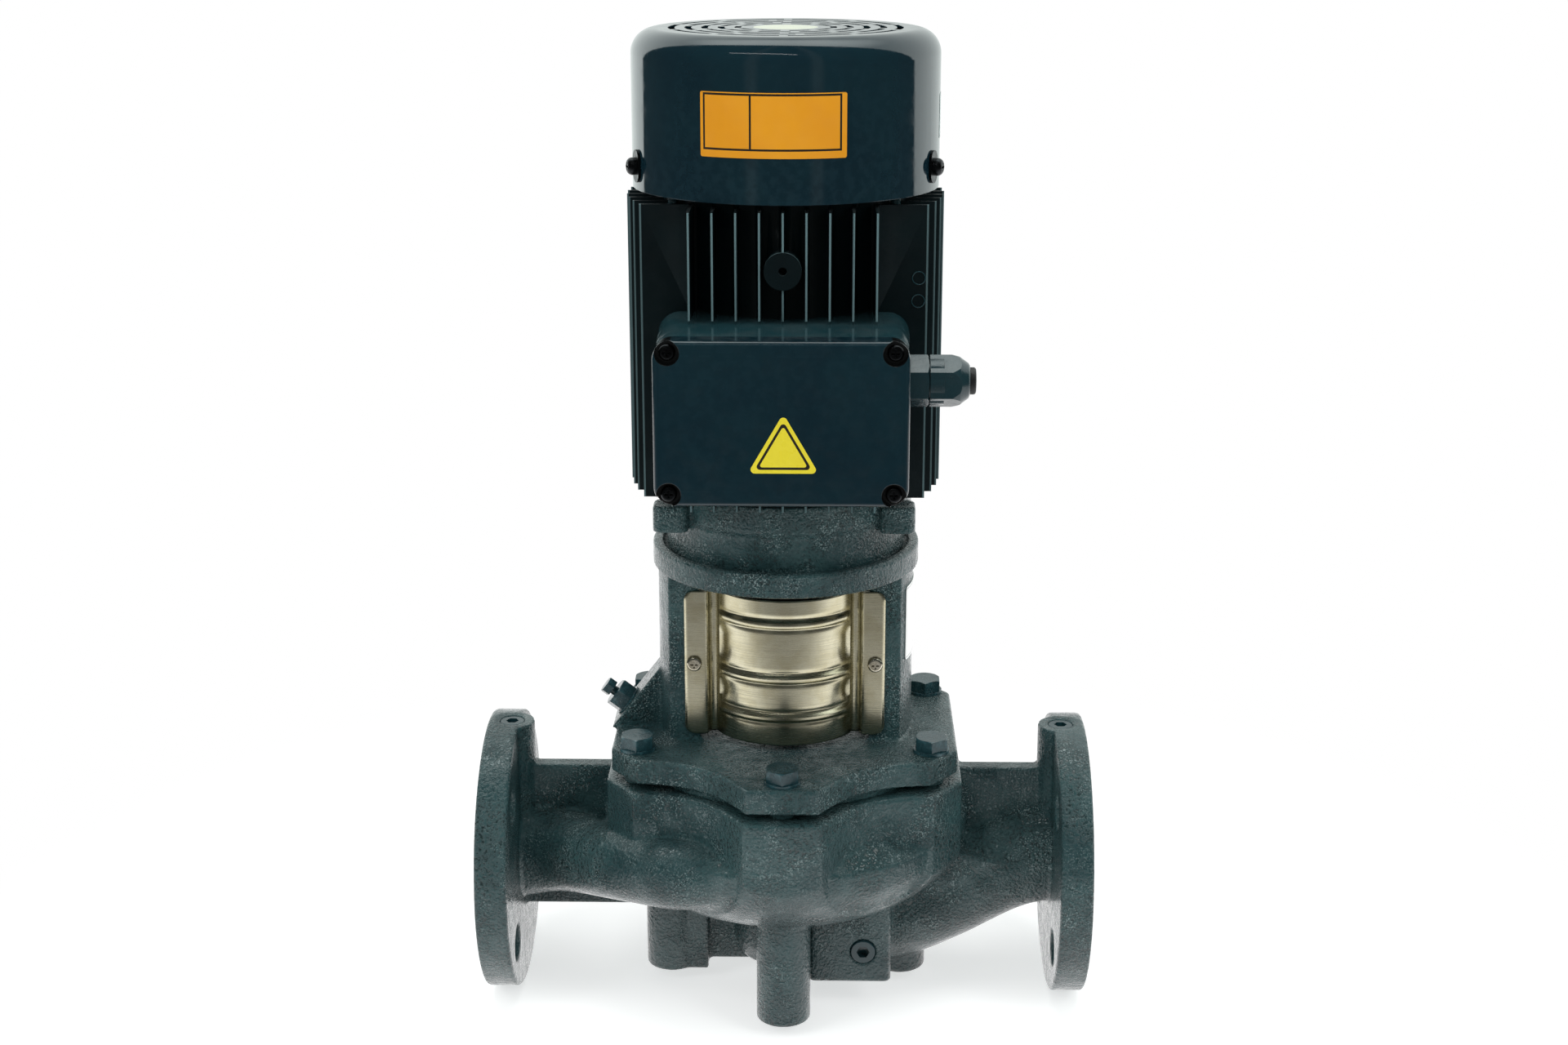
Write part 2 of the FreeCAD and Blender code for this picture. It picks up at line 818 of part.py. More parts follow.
def motor_stool():
    """Stool in one casting: scalloped cover plate, skirt, legs and motor flange."""
    plate = softened(cover_prism(0, plate_z, plate_top_z), 3.0, 1.5)
    leg = stool_leg()
    skirt = revolved([
        (skirt_bore_r - skirt_wall - 1.0, plate_z + 1),
        (shoulder_r, plate_z + 1),
        (shoulder_r, casing_top_z),
        (register_r - running_gap, casing_top_z),
        (register_r - running_gap, register_z + 0.2),
        (skirt_r, register_z + 0.2),
        (skirt_r, skirt_z),
        (impeller_hub_r * 2, skirt_z),
        (impeller_hub_r * 2, skirt_z + 4.0),
        (skirt_r - skirt_wall, skirt_z + 4.0),
        (skirt_r - skirt_wall, casing_top_z),
        (seal_housing_r + 6.5, casing_top_z),
        (seal_housing_r + 5.0, seal_seat_z - 0.5),
        (pump_shaft_r, seal_seat_z - 0.5),
        (pump_shaft_r, plate_z + 1),
    ])
    head = cylinder(stool_flange_r, window_top_z, stool_top_z)
    head = head.makeFillet(1.2, [e for e in head.Edges if e.Length > 6 * stool_flange_r])
    solids = [plate, leg, mirrored_x(leg), skirt, head, vent_gusset()]
    pad = moved(cylinder(7.0, casing_top_z, plate_z + 1), cover_bolt_circle_r, 0, 0)
    solids += around(pad, cover_bolt_angles())
    body = solids[0].fuse(solids[1:])
    voids = [
        cylinder(motor_face_r + 2.2, motor_face_z, stool_top_z + 1),
        cylinder(motor_spigot_r + running_gap, motor_face_z - stool_web_t - 9, motor_face_z + 1),
        cylinder(stool_r - stool_wall, window_top_z - 1, motor_face_z - stool_web_t),
        cylinder(pump_shaft_r + shaft_hole_gap, seal_seat_z - 1, plate_top_z + 1),
        cylinder(seal_housing_r, seal_seat_z - 1, seal_seat_z + seal_seat_t + 0.7),
    ]
    groove_low = o_ring_z() - o_ring_r * 1.25
    voids.append(ring(register_r + 1, register_r - 2 * o_ring_r, groove_low, o_ring_z() + o_ring_r * 1.25))
    hole = cylinder(cover_bolt_r + bolt_clearance, casing_top_z - 1, plate_top_z + 1)
    hole = moved(hole, cover_bolt_circle_r, 0, 0)
    voids += around(hole, cover_bolt_angles())
    low = motor_face_z - stool_web_t - 1
    hole = moved(cylinder(motor_bolt_r + bolt_clearance, low, motor_face_z + 1), motor_bolt_circle_r, 0, 0)
    voids += around(hole, even_angles(4, 45))
    voids += [screw_hole(sx, sy) for sx in (1, -1) for sy in (1, -1)]
    face = vent_face()
    axis = vent_axis()
    voids.append(rod(vent_plug_r, face + axis, face - axis * (vent_plug_depth + 1)))
    voids.append(rod(vent_drill_r, face, face - axis * 48.0))
    return body.cut(voids).removeSplitter()


def screw_hole(side, front):
    y = front * (window_half_depth + 1)
    inner = front * (window_half_depth - stool_lip_t - 1)
    z = plate_top_z + guard_screw_h
    return rod(guard_screw_r, V(side * guard_screw_x, inner, z), V(side * guard_screw_x, y, z))


def stool_bolts():
    seat = plate_top_z + cover_washer_t
    bolt = bolt_head(cover_bolt_af, seat, seat + cover_bolt_head_h)
    bolt = bolt.fuse(cylinder(cover_bolt_r, casing_top_z - cover_bolt_reach, seat + 1))
    return group(around(moved(bolt, cover_bolt_circle_r, 0, 0), cover_bolt_angles()))


def stool_washers():
    washer = ring(cover_washer_r, cover_bolt_r, plate_top_z, plate_top_z + cover_washer_t)
    return group(around(moved(washer, cover_bolt_circle_r, 0, 0), cover_bolt_angles()))


def vent_plug():
    """Hexagon plug in the vent face, drilled through for the bleed screw."""
    body = cylinder(vent_plug_r, -vent_plug_depth, 1.0)
    head = bolt_head(vent_plug_af, 1.0, 1.0 + vent_plug_head_h)
    plug = body.fuse(head)
    plug = plug.cut(cylinder(vent_drill_r * 0.8, -vent_plug_depth - 1, 2))
    plug = plug.cut(cylinder(vent_screw_r + running_gap, 0.5, vent_plug_head_h + 2))
    return pointed(plug, vent_face(), vent_axis())


def vent_plug_washer():
    washer = ring(vent_plug_r + 2.6, vent_plug_r, 0, 1.0)
    return pointed(washer, vent_face(), vent_axis())


def vent_screw():
    """Small bleed screw in the end of the vent plug."""
    top = 1.0 + vent_plug_head_h
    screw = cylinder(vent_screw_r, 1.0, top + 2.5)
    screw = screw.fuse(bolt_head(vent_screw_af, top + 2.0, top + 2.0 + vent_screw_head_h))
    return pointed(screw, vent_face(), vent_axis())


def guard_profile():
    """Middle line of the pressed guard sheet in plan, from ear to ear."""
    centre_y = -guard_front + guard_bulge_r
    ear_y = -window_half_depth - guard_t / 2
    bend_r = 1.5
    edge = math.radians(-12)
    bulge = V(guard_bulge_r * math.cos(edge), centre_y + guard_bulge_r * math.sin(edge), 0)
    channel = bulge + V(guard_channel_r, guard_channel_r, 0)
    wall = bulge + V(2 * guard_channel_r, 0, 0)
    bend = V(wall.x, ear_y + bend_r, 0)
    tip = V(wall.x + bend_r, ear_y, 0)
    turn = bend_r * (1 - math.sqrt(0.5))
    right = [
        Part.makeLine(V(guard_ear_out + guard_t, ear_y, 0), tip),
        Part.Arc(tip, V(wall.x + turn, ear_y + turn, 0), bend).toShape(),
        Part.makeLine(bend, wall),
        Part.Arc(wall, channel, bulge).toShape(),
    ]
    mid = Part.Arc(bulge, V(0, -guard_front + guard_t / 2, 0), V(-bulge.x, bulge.y, 0)).toShape()
    return Part.Wire(Part.__sortEdges__(right + [mid] + [mirrored_x(e) for e in right]))


def guard_sheet():
    """Stainless guard: flat ears, a channel each side and a beaded half barrel."""
    low = plate_top_z + guard_foot_gap
    line = guard_profile()
    strip = line.makeOffset2D(guard_t / 2)
    face = Part.Face(strip)
    face.translate(V(0, 0, low))
    sheet = face.extrude(V(0, 0, guard_h))
    centre = V(0, -guard_front + guard_bulge_r, 0)
    reach = guard_bulge_r * 0.97
    front_half = box(-reach, reach, -guard_front - 4, centre.y - 7, low, low + guard_h)
    for level in (0.192, 0.461, 0.837):
        bead = Part.makeTorus(guard_bulge_r, guard_bead_r, V(0, centre.y, low + guard_h * level))
        sheet = sheet.fuse(bead.common(front_half))
    sheet = sheet.common(ear_corners(low))
    holes = []
    for side in (1, -1):
        spot = V(side * guard_screw_x, 0, plate_top_z + guard_screw_h)
        holes.append(rod(guard_screw_r + running_gap, spot, spot - V(0, window_half_depth + 4, 0)))
    return sheet.cut(holes).removeSplitter()


def ear_corners(low):
    """Block with rounded outer corners that trims the ears of a guard sheet."""
    block = box(-guard_ear_out, guard_ear_out, -guard_front - 5, 0, low - 0.01, low + guard_h + 0.01)
    corners = [e for e in block.Edges if abs(e.tangentAt(e.FirstParameter).y) > 0.9]
    return block.makeFillet(5.0, corners)


def guard_rear_sheet():
    return turned(guard_sheet(), 180)


def pan_head(radius, low, high):
    """Domed screw head with a cross recess."""
    head = cylinder(radius, low, high)
    head = head.makeFillet((high - low) * 0.6, [e for e in head.Edges if e.BoundBox.ZMin > high - 0.01])
    arm = radius * 0.5
    slot = box(-arm, arm, -0.5, 0.5, high - (high - low) * 0.5, high + 1)
    return head.cut([slot, turned(slot, 90)])


def guard_screws():
    face = window_half_depth + guard_t
    depth = guard_t + stool_lip_t + 0.5
    screw = pan_head(guard_screw_head_r, 0, guard_screw_head_h).fuse(cylinder(guard_screw_r, -depth, 0.5))
    screws = []
    for side in (1, -1):
        for front in (1, -1):
            spot = V(side * guard_screw_x, front * face, plate_top_z + guard_screw_h)
            screws.append(pointed(screw, spot, V(0, front, 0)))
    return group(screws)


def seal_seat():
    high = seal_seat_z + seal_seat_t - 0.8
    return ring(seal_housing_r - 2.8, pump_shaft_r + seal_ring_gap, seal_seat_z, high)


def seal_seat_cup():
    """Rubber cup that holds the stationary seal ring in the cover."""
    top = seal_seat_z + seal_seat_t
    inner = seal_housing_r - 2.8
    cup = ring(seal_housing_r, inner, seal_seat_z + 1.0, top)
    return cup.fuse(ring(inner + 0.5, pump_shaft_r + 2.0, top - 0.8, top))


def seal_face():
    return ring(seal_housing_r - 3.5, pump_shaft_r + seal_ring_gap, seal_seat_z - seal_face_w, seal_seat_z)


def seal_bellows():
    """Rubber bellows gripping the shaft and carrying the carbon ring."""
    top = seal_seat_z - seal_face_w
    return revolved([
        (pump_shaft_r, seal_z),
        (pump_shaft_r + 5.5, seal_z),
        (pump_shaft_r + 5.5, seal_z + 1.8),
        (pump_shaft_r + 2.0, seal_z + 1.8),
        (pump_shaft_r + 2.0, top - 1.8),
        (pump_shaft_r + 5.0, top - 1.8),
        (pump_shaft_r + 5.0, top),
        (pump_shaft_r, top),
    ])


def seal_spring():
    """Spring of the rotating seal half, as closed coils round the bellows."""
    low = seal_z + 1.8 + seal_wire_r
    high = seal_seat_z - seal_face_w - 1.8 - seal_wire_r
    step = (high - low) / (seal_spring_turns - 1)
    coil_r = pump_shaft_r + 2.2 + seal_wire_r
    levels = [low + step * i for i in range(seal_spring_turns)]
    return group([Part.makeTorus(coil_r, seal_wire_r, V(0, 0, z)) for z in levels])


def pump_shaft_top():
    return motor_face_z - motor_shaft_reach - shaft_end_gap


def key_slot(extra):
    low = hub_top_z - 4.0 - key_length
    outer = impeller_seat_r + 2.0 + extra
    return box(impeller_seat_r - 3.0, outer, -key_w / 2, key_w / 2, low, low + key_length)


def pump_shaft():
    """Stub shaft: threaded end, impeller seat, seal journal and coupling end."""
    nut_z = hub_bottom_z - impeller_washer_t - impeller_nut_h
    profile = revolved([
        (0, nut_z - 2.0),
        (pump_shaft_thread_r - 1.0, nut_z - 2.0),
        (pump_shaft_thread_r, nut_z - 1.0),
        (pump_shaft_thread_r, hub_bottom_z + 2.0),
        (impeller_seat_r, hub_bottom_z + 2.0),
        (impeller_seat_r, hub_top_z),
        (pump_shaft_r, hub_top_z),
        (pump_shaft_r, pump_shaft_top() - 1.0),
        (pump_shaft_r - 1.0, pump_shaft_top()),
        (0, pump_shaft_top()),
    ])
    return profile.cut(key_slot(1))


def impeller_key():
    return key_slot(0)


def impeller_washer():
    return ring(impeller_hub_r - 1.0, pump_shaft_thread_r, hub_bottom_z - impeller_washer_t, hub_bottom_z)


def impeller_nut():
    low = hub_bottom_z - impeller_washer_t - impeller_nut_h
    nut = hexagon(impeller_nut_af, low, low + impeller_nut_h)
    return nut.cut(cylinder(pump_shaft_thread_r, low - 1, low + impeller_nut_h + 1))


def vane_side(offset, start_deg):
    """Points along one side of a backward-curved vane, from inlet to rim."""
    points = []
    steps = 4
    for i in range(steps + 1):
        radius = vane_inlet_r * (impeller_r / vane_inlet_r) ** (i / steps)
        sweep = math.log(radius / vane_inlet_r) / math.tan(math.radians(vane_angle_deg))
        angle = math.radians(start_deg) + sweep + offset / radius / math.sin(math.radians(vane_angle_deg))
        points.append(V(radius * math.cos(angle), radius * math.sin(angle), 0))
    return points


def impeller():
    """Closed impeller: hub and back disc, curved vanes, front shroud with neck."""
    back_low = outlet_z + impeller_outlet_w / 2
    front_high = outlet_z - impeller_outlet_w / 2
    hub = revolved([
        (impeller_seat_r, hub_bottom_z),
        (impeller_hub_r, hub_bottom_z),
        (impeller_hub_r + 1.5, hub_bottom_z + 8.0),
        (impeller_hub_r + 7.0, back_low - 3.5),
        (impeller_hub_r + 17.0, back_low - 1.0),
        (impeller_r, back_low),
        (impeller_r, impeller_back_z),
        (impeller_hub_r + 7.0, impeller_back_z),
        (impeller_hub_r + 3.0, hub_top_z),
        (impeller_seat_r, hub_top_z),
    ])
    neck = impeller_neck_r - impeller_eye_r
    shroud = revolved([
        (impeller_eye_r, neck_bottom_z),
        (impeller_neck_r, neck_bottom_z),
        (impeller_neck_r, neck_bottom_z + 10.5),
        (impeller_neck_r + 7.0, impeller_front_z - 5.0),
        (impeller_r, impeller_front_z),
        (impeller_r, front_high),
        (impeller_neck_r + 7.0 - neck * 0.4, front_high - 4.5),
        (impeller_eye_r + 2.2, neck_bottom_z + 14.0),
        (impeller_eye_r, neck_bottom_z + 9.0),
    ])
    channel = revolved([
        (vane_inlet_r - 4.0, neck_bottom_z + 12.5),
        (impeller_eye_r + 2.8, neck_bottom_z + 12.5),
        (impeller_neck_r + 7.0 - neck * 0.4, front_high - 5.5),
        (impeller_r, front_high - 1.0),
        (impeller_r, back_low + 1.0),
        (impeller_hub_r + 17.0, back_low),
        (impeller_hub_r + 6.0, back_low - 2.0),
        (vane_inlet_r - 4.0, hub_bottom_z + 9.0),
    ])
    one_side = vane_side(vane_t / 2, 0)
    other_side = vane_side(-vane_t / 2, 0)
    outline = [smooth(one_side), Part.makeLine(one_side[-1], other_side[-1])]
    outline += [smooth(other_side), Part.makeLine(other_side[0], one_side[0])]
    blade = Part.Face(Part.Wire(Part.__sortEdges__(outline)))
    blade.translate(V(0, 0, neck_bottom_z))
    blade = blade.extrude(V(0, 0, impeller_back_z - neck_bottom_z)).common(channel)
    wheel = hub.fuse([shroud] + around(blade, even_angles(vane_count)))
    return wheel.cut(key_slot(0)).removeSplitter()


def coupling_half():
    """Half shell of the split coupling on the terminal box side."""
    low = coupling_z
    high = coupling_z + coupling_h
    shell = cylinder(coupling_r, low, high)
    shell = shell.makeFillet(1.5, [e for e in shell.Edges if e.Length > 6 * coupling_r])
    shell = shell.common(box(-coupling_r, coupling_r, -coupling_r, -coupling_split / 2, low, high))
    step = pump_shaft_top() + shaft_end_gap / 2
    bores = [cylinder(pump_shaft_r, low - 1, step), cylinder(motor_shaft_r, step, high + 1)]
    for x, z in coupling_screw_spots():
        bores.append(rod(coupling_screw_r, V(x, 0, z), V(x, -coupling_r, z)))
        bores.append(rod(coupling_screw_head_r + 0.4, V(x, -13.0, z), V(x, -coupling_r - 1, z)))
    return shell.cut(bores)


def coupling_screw_spots():
    spots = []
    for x in (coupling_screw_x, -coupling_screw_x):
        for level in (0.22, 0.78):
            spots.append((x, coupling_z + coupling_h * level))
    return spots


def coupling_half_rear():
    """Other half shell, tapped for the coupling screws."""
    shell = mirrored_y(coupling_half())
    fill = []
    for x, z in coupling_screw_spots():
        plug = rod(coupling_screw_head_r + 0.4, V(x, 13.0, z), V(x, coupling_r + 1, z))
        fill.append(plug.common(cylinder(coupling_r, coupling_z, coupling_z + coupling_h)))
    return shell.fuse(fill).removeSplitter()


def coupling_screws():
    screws = []
    for x, z in coupling_screw_spots():
        head = cylinder(coupling_screw_head_r, 0, 5.0).cut(hexagon(5.0, 2.5, 6.0))
        screw = head.fuse(cylinder(coupling_screw_r, -24.0, 0.5))
        screws.append(pointed(screw, V(x, -13.0, z), V(0, -1, 0)))
    return group(screws)


def motor_end_shield():
    """Lower end shield: mounting face and spigot, bearing housing and four ears."""
    base = motor_face_z
    top = base + shield_h
    shell = revolved([
        (oil_seal_r, base - motor_spigot_h),
        (motor_spigot_r, base - motor_spigot_h),
        (motor_spigot_r, base),
        (motor_face_r, base),
        (motor_face_r, top - ear_h - 4.0),
        (frame_r + 1.0, top - ear_h),
        (frame_r + 1.0, top),
        (frame_bore_r, top),
        (frame_bore_r, top + shield_spigot_h),
        (frame_bore_r - shield_wall, top + shield_spigot_h),
        (frame_bore_r - shield_wall, base + 14.0),
        (bearing_r + shield_wall, base + 9.0),
        (bearing_r + shield_wall, lower_bearing_z + bearing_w + 1.0),
        (bearing_r, lower_bearing_z + bearing_w + 1.0),
        (bearing_r, lower_bearing_z),
        (bearing_bore_r + 3.0, lower_bearing_z),
        (bearing_bore_r + 3.0, base - motor_spigot_h + oil_seal_w),
        (oil_seal_r, base - motor_spigot_h + oil_seal_w),
    ])
    ear = round_box(ear_w, ear_w, 4.0, top - ear_drop - ear_h, top - ear_drop)
    ears = [moved(ear, sx * ear_x, sy * ear_y, 0) for sx in (1, -1) for sy in (1, -1)]
    cavity = cylinder(frame_bore_r - shield_wall, base + 14.0, top)
    ears = [e.cut(cavity) for e in ears]
    body = shell.fuse(ears)
    tap = cylinder(motor_bolt_r, base - 1, base + 8.0)
    voids = around(moved(tap, motor_bolt_circle_r, 0, 0), even_angles(4, 45))
    tap = cylinder(tie_bolt_r, top - ear_drop - ear_h + 2.0, top + 1)
    voids += [moved(tap, x, y, 0) for x, y in tie_bolt_spots()]
    return body.cut(voids).removeSplitter()


def tie_bolt_spots():
    return [(sx * tie_bolt_x, sy * tie_bolt_y) for sx in (1, -1) for sy in (1, -1)]


def motor_flange_bolts():
    seat = motor_face_z - stool_web_t
    bolt = bolt_head(motor_bolt_af, -motor_bolt_head_h, 0)
    bolt.rotate(V(0, 0, -motor_bolt_head_h / 2), V(1, 0, 0), 180)
    bolt = bolt.fuse(cylinder(motor_bolt_r, -0.5, stool_web_t + 7.0))
    return group(around(moved(bolt, motor_bolt_circle_r, 0, seat), even_angles(4, 45)))


def shaft_oil_seal():
    """Lip seal below the lower bearing, its lip just clear of the shaft."""
    low = motor_face_z - motor_spigot_h
    high = low + oil_seal_w
    lip = motor_shaft_r + running_gap
    return revolved([
        (lip, low + 1.5),
        (lip + 1.2, low + 0.5),
        (oil_seal_r - 3.0, low + 0.5),
        (oil_seal_r - 3.0, low),
        (oil_seal_r, low),
        (oil_seal_r, high),
        (motor_shaft_r + 3.0, high),
        (motor_shaft_r + 3.0, high - 1.5),
        (oil_seal_r - 3.0, high - 1.5),
        (oil_seal_r - 3.0, low + 3.0),
        (lip + 1.0, low + 3.0),
    ])


def ball_groove(low):
    return Part.makeTorus(bearing_pitch_r, bearing_ball_r + bearing_play, V(0, 0, low + bearing_w / 2))


def bearing_outer_races():
    """Outer races of both motor bearings, with their ball grooves."""
    races = []
    for low in (lower_bearing_z, upper_bearing_z):
        race = ring(bearing_r, bearing_pitch_r + 2.4, low, low + bearing_w)
        races.append(race.cut(ball_groove(low)))
    return group(races)


def bearing_inner_races():
    """Inner races of both motor bearings, pressed on the shaft."""
    races = []
    for low in (lower_bearing_z, upper_bearing_z):
        race = ring(bearing_pitch_r - 2.4, bearing_bore_r, low, low + bearing_w)
        races.append(race.cut(ball_groove(low)))
    return group(races)


def bearing_balls(low):
    ball = Part.makeSphere(bearing_ball_r, V(bearing_pitch_r, 0, low + bearing_w / 2))
    return group(around(ball, even_angles(bearing_ball_count)))


def bearing_cage(low):
    """Cage ring with a round pocket for every ball."""
    middle = low + bearing_w / 2
    half_h = bearing_ball_r + 1.1
    band = ring(bearing_pitch_r + 1.2, bearing_pitch_r - 1.2, middle - half_h, middle + half_h)
    start = V(bearing_pitch_r - 4, 0, middle)
    pocket = rod(bearing_ball_r + bearing_play, start, start + V(8, 0, 0))
    return band.cut(around(pocket, even_angles(bearing_ball_count)))


def bearing_wave_spring():
    """Preload ring between the upper bearing and its housing shoulder."""
    low = upper_bearing_z + bearing_w
    return ring(bearing_r - 0.3, bearing_r - 4.0, low, low + 1.2)


def front_fins(tip):
    """Cooling fins of the side facing -Y, parallel to Y."""
    fins = []
    for i in range(fin_count):
        x = (i - (fin_count - 1) / 2) * front_fin_pitch
        root = math.sqrt(frame_r ** 2 - x ** 2) - frame_wall / 2
        fins.append(box(x - fin_t / 2, x + fin_t / 2, -tip, -root, fin_low_z, fin_high_z))
    return fins


def side_fins():
    """Cooling fins of the side facing +X, the two outer ones shorter."""
    fins = []
    last = (fin_count - 1) // 2
    for i in range(-last, last + 1):
        y = i * side_fin_pitch
        tip = corner_fin_tip if abs(i) == last else side_fin_tip - 0.6 * i * i
        root = math.sqrt(frame_r ** 2 - y ** 2) - frame_wall / 2
        fins.append(box(root, tip, y - fin_t / 2, y + fin_t / 2, fin_low_z, fin_high_z))
    return fins


def motor_frame():
    """Finned motor frame with the terminal box pad and the lifting eye boss."""
    tube = cylinder(frame_r, frame_z, frame_top_z)
    front = front_fins(front_fin_tip)
    right = side_fins()
    half_h = (box_h - 1.0) / 2 + box_draft + bolt_clearance
    clear_y = -box_skirt_front + shaft_hole_gap
    clear_box = box(-box_w, box_w, -box_front, clear_y, box_z - half_h, box_z + half_h)
    front = [f.cut(clear_box) for f in front]
    rear = [mirrored_y(f) for f in front_fins(front_fin_tip)]
    low, high = box_z - box_pad_half_h, box_z + box_pad_half_h
    pad = box(-box_pad_half_w, box_pad_half_w, -box_pad_front, -frame_r * 0.72, low, high)
    eye_z = frame_top_z - eye_boss_drop
    eye_y = -front_fin_tip - 2.0
    boss = rod(eye_boss_r, V(0, -frame_bore_r - 1, eye_z), V(0, eye_y, eye_z))
    solids = front + rear + right + [mirrored_x(f) for f in right] + [pad, boss]
    body = tube.fuse(solids)
    voids = [
        cylinder(frame_bore_r, frame_z - 1, frame_top_z + 1),
        rod(wire_hole_r, V(0, -frame_bore_r + 9, box_z), V(0, -box_pad_front - 1, box_z)),
        rod(eye_boss_hole_r, V(0, eye_y - 1.0, eye_z), V(0, eye_y + eye_boss_hole_depth, eye_z)),
    ]
    voids += [box_mount_hole(x, z) for x, z in box_mount_spots()]
    return body.cut(voids).removeSplitter()


def box_mount_spots():
    return [(sx * box_mount_x, box_z + sz * box_mount_z) for sx in (1, -1) for sz in (1, -1)]


def box_mount_hole(x, z):
    return rod(box_screw_r, V(x, -box_pad_front + 8.0, z), V(x, -box_pad_front - 1, z))


def rear_end_shield():
    """Upper end shield with lugs for the tie bolts and for the fan cowl."""
    low = frame_top_z
    housing_top = upper_bearing_z + bearing_w + 1.2 + 2.0
    shell = revolved([
        (bearing_r, low - shield_spigot_h),
        (bearing_r + shield_wall, low - shield_spigot_h),
        (bearing_r + shield_wall, low),
        (frame_bore_r - shield_wall, low),
        (frame_bore_r - shield_wall, low - shield_spigot_h),
        (frame_bore_r, low - shield_spigot_h),
        (frame_bore_r, low),
        (frame_r + 1.0, low),
        (frame_r + 1.0, low + 6.0),
        (bearing_r + shield_wall + 4.0, low + 6.0),
        (bearing_r + shield_wall, housing_top),
        (bearing_bore_r + 1.0, housing_top),
        (bearing_bore_r + 1.0, housing_top - 2.0),
        (bearing_r, housing_top - 2.0),
    ])
    lug = cylinder(6.2, low, low + 6.0)
    lugs = [moved(lug, x, y, 0) for x, y in tie_bolt_spots()]
    inner_r = cowl_r - cowl_t
    block = box(frame_r - 3.0, cowl_r, -7.0, 7.0, low, cowl_z + cowl_screw_rise + 7.0)
    block = block.common(cylinder(inner_r, low, cowl_top_z))
    solids = lugs + around(block, cowl_screw_angles())
    body = shell.fuse(solids)
    z = cowl_z + cowl_screw_rise
    tap = rod(cowl_screw_r, V(cowl_r, 0, z), V(frame_r - 1.0, 0, z))
    voids = around(tap, cowl_screw_angles())
    hole = cylinder(tie_bolt_r + 0.25, low - 1, low + 7)
    voids += [moved(hole, x, y, 0) for x, y in tie_bolt_spots()]
    return body.cut(voids).removeSplitter()


def cowl_screw_angles():
    return [cowl_screw_deg, -cowl_screw_deg, 180 - cowl_screw_deg, 180 + cowl_screw_deg]


def tie_bolts():
    """Long bolts that clamp both end shields to the motor frame."""
    low = frame_z - ear_drop - ear_h + 2.5
    seat = frame_top_z + 6.0
    bolt = cylinder(tie_bolt_r, low, seat + 0.5).fuse(bolt_head(tie_bolt_af, seat, seat + tie_bolt_head_h))
    return group([moved(bolt, x, y, 0) for x, y in tie_bolt_spots()])


def stator_slot(low, high):
    half = stator_slot_w / 2
    return box(stator_bore_r + 1.5, stator_bore_r + stator_slot_depth, -half, half, low, high)


def stator_core():
    """Stator lamination stack with its winding slots."""
    high = stator_z + stator_length
    core = ring(frame_bore_r, stator_bore_r, stator_z, high)
    mouth = box(stator_bore_r - 1, stator_bore_r + 2, -1.2, 1.2, stator_z - 1, high + 1)
    slot = stator_slot(stator_z - 1, high + 1).fuse(mouth)
    return core.cut(around(slot, even_angles(stator_slot_count)))


def stator_windings():
    """Copper windings: bars in the slots joined by the two end bundles."""
    high = stator_z + stator_length
    inner = stator_bore_r + 3.0
    outer = stator_bore_r + stator_slot_depth + 3.0
    lower = ring(outer, inner, stator_z - winding_overhang, stator_z - 1.0)
    upper = ring(outer, inner, high + 1.0, high + winding_overhang)
    bar = stator_slot(stator_z - 2.0, high + 2.0)
    bundles = [b.makeFillet(4.0, [e for e in b.Edges if e.Length > 150]) for b in (lower, upper)]
    return bundles[0].fuse([bundles[1]] + around(bar, even_angles(stator_slot_count)))


def rotor_core():
    return ring(stator_bore_r - air_gap, rotor_shaft_r, stator_z, stator_z + stator_length)


def rotor_end_rings():
    """Short-circuit rings of the rotor cage, cast with stub blades."""
    rings = []
    for low, stub in ((stator_z - end_ring_h, -5.0), (stator_z + stator_length, end_ring_h)):
        body = ring(stator_bore_r - 2.0, rotor_shaft_r + 7.0, low, low + end_ring_h)
        blade_low = low + min(stub, 0)
        blade_high = low + end_ring_h + max(stub - 2.0, 0)
        blade = box(rotor_shaft_r + 9.0, stator_bore_r - 3.0, -1.2, 1.2, blade_low, blade_high)
        rings.append(body.fuse(around(blade, even_angles(6))).removeSplitter())
    return group(rings)


def motor_shaft():
    """Motor shaft: coupling end, two bearing seats, rotor seat and fan seat."""
    upper = upper_bearing_z
    low = motor_face_z - motor_shaft_reach
    body = revolved([
        (0, low),
        (motor_shaft_r - 1.0, low),
        (motor_shaft_r, low + 1.0),
        (motor_shaft_r, lower_bearing_z - 1.0),
        (bearing_bore_r, lower_bearing_z - 1.0),
        (bearing_bore_r, lower_bearing_z + bearing_w),
        (bearing_bore_r + 2.0, lower_bearing_z + bearing_w),
        (bearing_bore_r + 2.0, stator_z - 3.0),
        (rotor_shaft_r, stator_z - 3.0),
        (rotor_shaft_r, stator_z + stator_length + 3.0),
        (bearing_bore_r + 2.0, stator_z + stator_length + 3.0),
        (bearing_bore_r + 2.0, upper),
        (bearing_bore_r, upper),
        (bearing_bore_r, upper + bearing_w + 5.0),
        (fan_seat_r, upper + bearing_w + 5.0),
        (fan_seat_r, shaft_top_z),
        (0, shaft_top_z),
    ])
    clip_z = circlip_z()
    return body.cut(ring(fan_seat_r + 1, fan_seat_r - 0.8, clip_z, clip_z + 1.2))


def circlip_z():
    return fan_z + fan_disc_t + fan_blade_h


